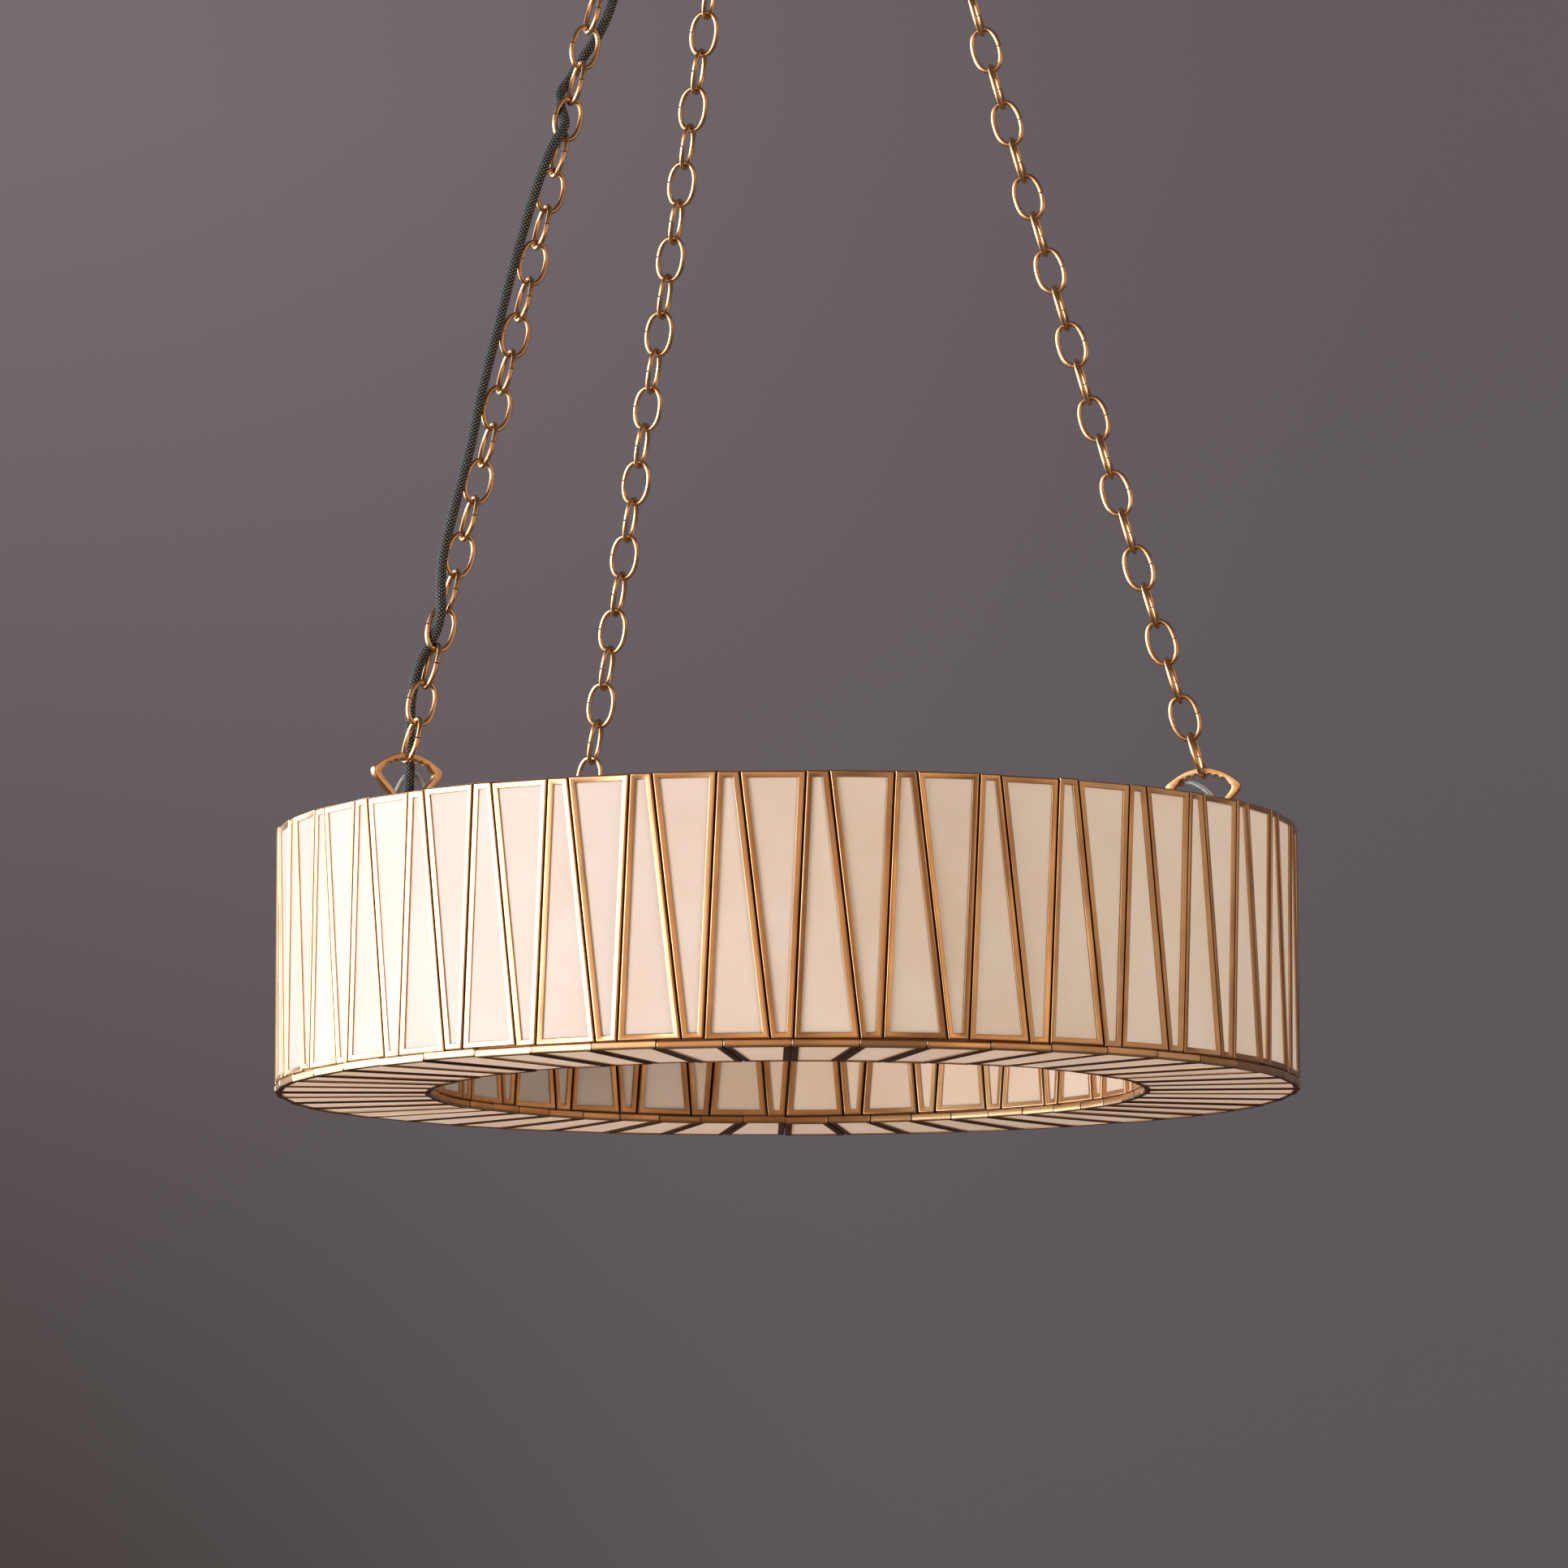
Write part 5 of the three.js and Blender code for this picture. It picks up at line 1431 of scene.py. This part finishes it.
class CHANDELIER_OT_fixing(bpy.types.Operator):
    """Crossbar, screws, stem, locknut, terminals, threaded loop and the link below it"""

    bl_idname = "chandelier.fixing"
    bl_label = "Ceiling fixing"

    def execute(self, context):
        self.crossbar()
        for name in ("left", "right"):
            node = "box_screw_" + name
            low, high = heights(node)
            head = low + 3 * MM
            profile = [
                (0, low), (1.6 * MM, low + 0.2 * MM), (4 * MM, low + 1.5 * MM), (4 * MM, head),
                (2 * MM, head), (2 * MM, high), (0, high),
            ]
            screw = lathe("screw_" + name, profile, 0.4 * MM, axis_of(node), 36)
            dress(screw, "steel", node, **STEEL)
        stem = threaded("stem", *heights("hanger_stem"), 5 * MM, 1.0 * MM)
        dress(stem, "steel", "hanger_stem", **STEEL)
        hex_nut("locknut", "stem_locknut", 9 * MM, 5.1 * MM, Vector(), "steel", **STEEL)
        self.terminals()
        self.loops(context.scene.chandelier_fitting)
        return {"FINISHED"}

    def crossbar(self):
        """Flat steel bar with rounded corners, three round holes and two slots."""
        low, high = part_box("ceiling_crossbar")
        corner = 4 * MM
        outline = []
        for sx, sy in ((1, 1), (-1, 1), (-1, -1), (1, -1)):
            x, y = sx * (high.x - corner), sy * (high.y - corner)
            arc = [
                (x + sx * corner * cos(a), y + sy * corner * sin(a))
                for a in (i * pi / 12 for i in range(7))
            ]
            outline += arc if sx * sy > 0 else arc[::-1]
        holes = [circle(5.3 * MM, 32)] + [circle(2.3 * MM, 24, x) for x in (35 * MM, -35 * MM)]
        for middle in (-22 * MM, 22 * MM):
            slot = []
            for angle in turns(24):
                c, s = cos(angle + pi / 24), sin(angle + pi / 24)
                slot.append((middle + 3 * MM * c + copysign(2 * MM, c), 1.8 * MM * s))
            holes.append(slot)
        middle = Vector((0, 0, (low.z + high.z) / 2))
        bar = cast_plate("crossbar", outline, holes, high.z - low.z, 0.4 * MM, middle)
        dress(bar, "steel", "ceiling_crossbar", **STEEL)

    def terminals(self):
        """Moulded terminal block with three screw wells."""
        node = "terminal_block"
        low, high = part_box(node)
        wells = [circle(1.7 * MM, 20, 0, y) for y in (-5.5 * MM, 0, 5.5 * MM)]
        outline = oblong(half_width(node), (high.y - low.y) / 2)
        block = cast_plate("terminals", outline, wells, high.z - low.z, 0.8 * MM, centre(node))
        dress(block, "white", node, slot="white_plastic", body="ceiling_fixing")

    def loops(self, given):
        """Threaded body with its ring, and the oval link below it."""
        low, high = heights("canopy_loop")
        ring_z = low + given.loop_wire / 2 + given.loop_ring
        body = threaded("loop_body", ring_z + given.loop_ring - 2 * MM, high, 13 * MM, 1.2 * MM)
        ring = wire_ring("loop_ring", given.loop_ring, given.loop_wire, ring_z)
        dress(joined("ceiling_loop", body, ring), "cast", "canopy_loop", body="ceiling_fixing")
        low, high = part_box("suspension_link")
        wire = 4 * MM
        half = (high.z - low.z - wire) / 2
        wide = (high.y - low.y - wire) / 2
        middle = (low + high) / 2
        stations = []
        for angle in turns(56):
            y, z = oval(wide, half, 0.85, angle)
            stations.append(Vector((0, middle.y + y, middle.z + z)))
        link = tube("oval_link", stations, wire / 2, closed=True)
        dress(link, "wire", "suspension_link", body="top_link")


# Lamps and wiring

# A candle bulb's outline: share of the way down from the cap, and share of its widest radius
BULB_SHAPE = (
    (0.0, 0.39), (0.05, 0.52), (0.12, 0.74), (0.2, 0.89), (0.3, 0.98), (0.4, 1.0), (0.5, 0.97),
    (0.6, 0.88), (0.7, 0.74), (0.8, 0.55), (0.88, 0.39), (0.94, 0.27), (0.98, 0.15),
)


class CHANDELIER_OT_lamps(bpy.types.Operator):
    """Porcelain lampholders and their bulbs"""

    bl_idname = "chandelier.lamps"
    bl_label = "Lamps"

    def execute(self, context):
        given = context.scene.chandelier_fitting
        radius = context.scene.chandelier_hanging.hanger_radius
        for order, angle in enumerate(turns(given.lamps), 1):
            place = around(radius, given.lamp_first + angle)
            self.lampholder(str(order), place)
            self.bulb(str(order), place, given.bulb_radius)
        return {"FINISHED"}

    def lampholder(self, label, place):
        """Hollow porcelain cup, with a neck through the frame."""
        low, high = heights("lamp_socket_" + label)
        top, floor = FRAME_LOW - 0.3 * MM, low + 26 * MM
        profile = [
            (0, high), (4.9 * MM, high), (4.9 * MM, top), (11 * MM, top),
            (13.5 * MM, top - 14 * MM), (13.5 * MM, low + 2.4 * MM), (13.1 * MM, low),
            (8 * MM, low), (8 * MM, floor), (0, floor),
        ]
        holder = lathe("lampholder_" + label, profile, 1.0 * MM, place, 64)
        dress(holder, "porcelain", "lamp_socket_" + label, slot="porcelain")

    def bulb(self, label, place, radius):
        """Frosted candle bulb on its screw cap."""
        node = "bulb_" + label
        low, high = heights(node)
        neck = high - 24 * MM
        cap = threaded("cap", neck, high, 6.8 * MM, 2.6 * MM)
        outline = [(radius * wide, neck - (neck - low) * down) for down, wide in BULB_SHAPE]
        profile = [(0, neck)] + outline + [(0, low)]
        glass = turned("bulb_glass", profile, segments=48, sharp=60)
        cap.data.materials.append(FINISHES["steel"])
        glass.data.materials.append(FINISHES["bulb"])
        whole = placed(joined("lamp_bulb_" + label, glass, cap), Matrix.Translation(place))
        dress(whole, None, node, slot="bulb_glass", body=node)


# The lamp wiring's route: angle in degrees, radius and height above the rim in metres. The resting
# height and the hoop's radius are written as REST and HOOP.
REST = -0.01865
HOOP = 0.36909
HARNESS_ROUTE = [
    (-61.9, 0.3229, REST), (-62, 0.329, REST), (-63.5, 0.341, REST), (-66.5, 0.353, REST),
    (-71, 0.364, REST), (-78, HOOP, REST), (-98, HOOP, REST), (-118, HOOP, REST),
    (-138, HOOP, REST), (-158, HOOP, REST), (-178, HOOP, REST), (-198, HOOP, REST),
    (-218, HOOP, REST), (-238, HOOP, REST), (-258, HOOP, REST), (-266, 0.366, REST),
    (-272, 0.350, -0.017), (-277, 0.325, -0.010), (-281, 0.303, 0.003), (-284, 0.291, 0.014),
    (-285.8, 0.2932, 0.0215), (-288.2, 0.3117, 0.0246), (-290.5, 0.3291, 0.016),
    (-294, 0.344, 0.0), (-298.5, 0.359, -0.014), (-304, 0.367, REST), (-312, HOOP, REST),
    (-330, HOOP, REST), (-350, HOOP, REST), (-370, HOOP, REST), (-390, HOOP, REST),
    (-402, 0.366, REST), (-408, 0.352, REST), (-413, 0.330, -0.015), (-416.5, 0.309, -0.009),
    (-419, 0.298, 0.002), (-420.6, 0.2985, 0.012), (-421.5, 0.3025, 0.020),
    (-422.6, 0.306, 0.028), (-423.2, 0.312, 0.026), (-423.6, 0.317, 0.017),
    (-424.4, 0.320, 0.005), (-425.3, 0.319, -0.006), (-425.6, 0.316, -0.013),
    (-424.2, 0.3125, -0.0152),
]


class CHANDELIER_OT_wiring(bpy.types.Operator):
    """Frame, lamp wiring, junction block and cord grip"""

    bl_idname = "chandelier.wiring"
    bl_label = "Frame and wiring"

    def execute(self, context):
        # The frame keeps its CAD shape
        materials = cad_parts["top_frame"].data.materials
        materials.clear()
        materials.append(FINISHES["bar"])
        points = [around(r, radians(a), RIM + z) for a, r, z in HARNESS_ROUTE]
        radius = context.scene.chandelier_fitting.wire_diameter / 2
        wires = tube("lamp_wires", smooth_path(points, 0.003), radius, sides=12)
        dress(wires, "white", "wiring_harness", slot="white_plastic")
        self.junction()
        self.cord_grip()
        return {"FINISHED"}

    def junction(self):
        """Moulded block with two lid screws."""
        node = "junction_block"
        low, high = heights(node)
        outline = oblong(8 * MM, 10 * MM)
        wells = [circle(1.5 * MM, 16, -5 * MM, -7 * MM), circle(1.5 * MM, 16, 5 * MM, 7 * MM)]
        block = placed(
            cast_plate("junction", outline, wells, high - low, 1.0 * MM),
            Matrix.Rotation(angle_of(node) - pi / 2, 4, "Z"),
            Matrix.Translation(centre(node)),
        )
        dress(block, "white", node, slot="white_plastic")

    def cord_grip(self):
        """Grip with ribs that get narrower upwards."""
        node = "flex_gland"
        low, high = heights(node)
        foot, ribs = 7.2 * MM, 4
        step = (high - low) / ribs
        profile = [(0, low), (foot, low)]
        for i in range(ribs):
            z = low + i * step
            wide = foot - 0.7 * MM * i
            profile += [(wide, z + step * 0.15), (wide, z + step * 0.7)]
            profile.append((wide - 0.9 * MM, z + step * 0.85))
        profile += [(4.4 * MM, high), (0, high)]
        grip = lathe("cord_grip", profile, 0.3 * MM, axis_of(node), 48, 2)
        dress(grip, "black", node, slot="black_plastic")


OPERATORS = (
    CHANDELIER_OT_stage,
    CHANDELIER_OT_flex,
    CHANDELIER_OT_outer_wall,
    CHANDELIER_OT_inner_wall,
    CHANDELIER_OT_base,
    CHANDELIER_OT_hangers,
    CHANDELIER_OT_chains,
    CHANDELIER_OT_hub,
    CHANDELIER_OT_canopy,
    CHANDELIER_OT_fixing,
    CHANDELIER_OT_lamps,
    CHANDELIER_OT_wiring,
)


class CHANDELIER_PT_panel(bpy.types.Panel):
    """Lists the steps and the values of the chandelier"""

    bl_idname = "CHANDELIER_PT_panel"
    bl_label = "Ring chandelier"
    bl_space_type = "VIEW_3D"
    bl_region_type = "UI"
    bl_category = "Chandelier"

    def draw(self, context):
        for step in OPERATORS:
            self.layout.operator(step.bl_idname, text=step.bl_label)
        for name, group in GROUPS.items():
            box = self.layout.box()
            values = getattr(context.scene, name)
            for item in group.__annotations__:
                box.prop(values, item)


CLASSES = (*GROUPS.values(), *OPERATORS, CHANDELIER_PT_panel)


def register():
    for kind in CLASSES:
        bpy.utils.register_class(kind)
    for name, group in GROUPS.items():
        setattr(bpy.types.Scene, name, PointerProperty(type=group))


def unregister():
    for name in GROUPS:
        delattr(bpy.types.Scene, name)
    for kind in reversed(CLASSES):
        bpy.utils.unregister_class(kind)


def main():
    """Makes every piece in order."""
    register()
    make_finishes()
    for step in OPERATORS:
        group, name = step.bl_idname.split(".")
        getattr(getattr(bpy.ops, group), name)()


if __name__ == "__main__":
    main()
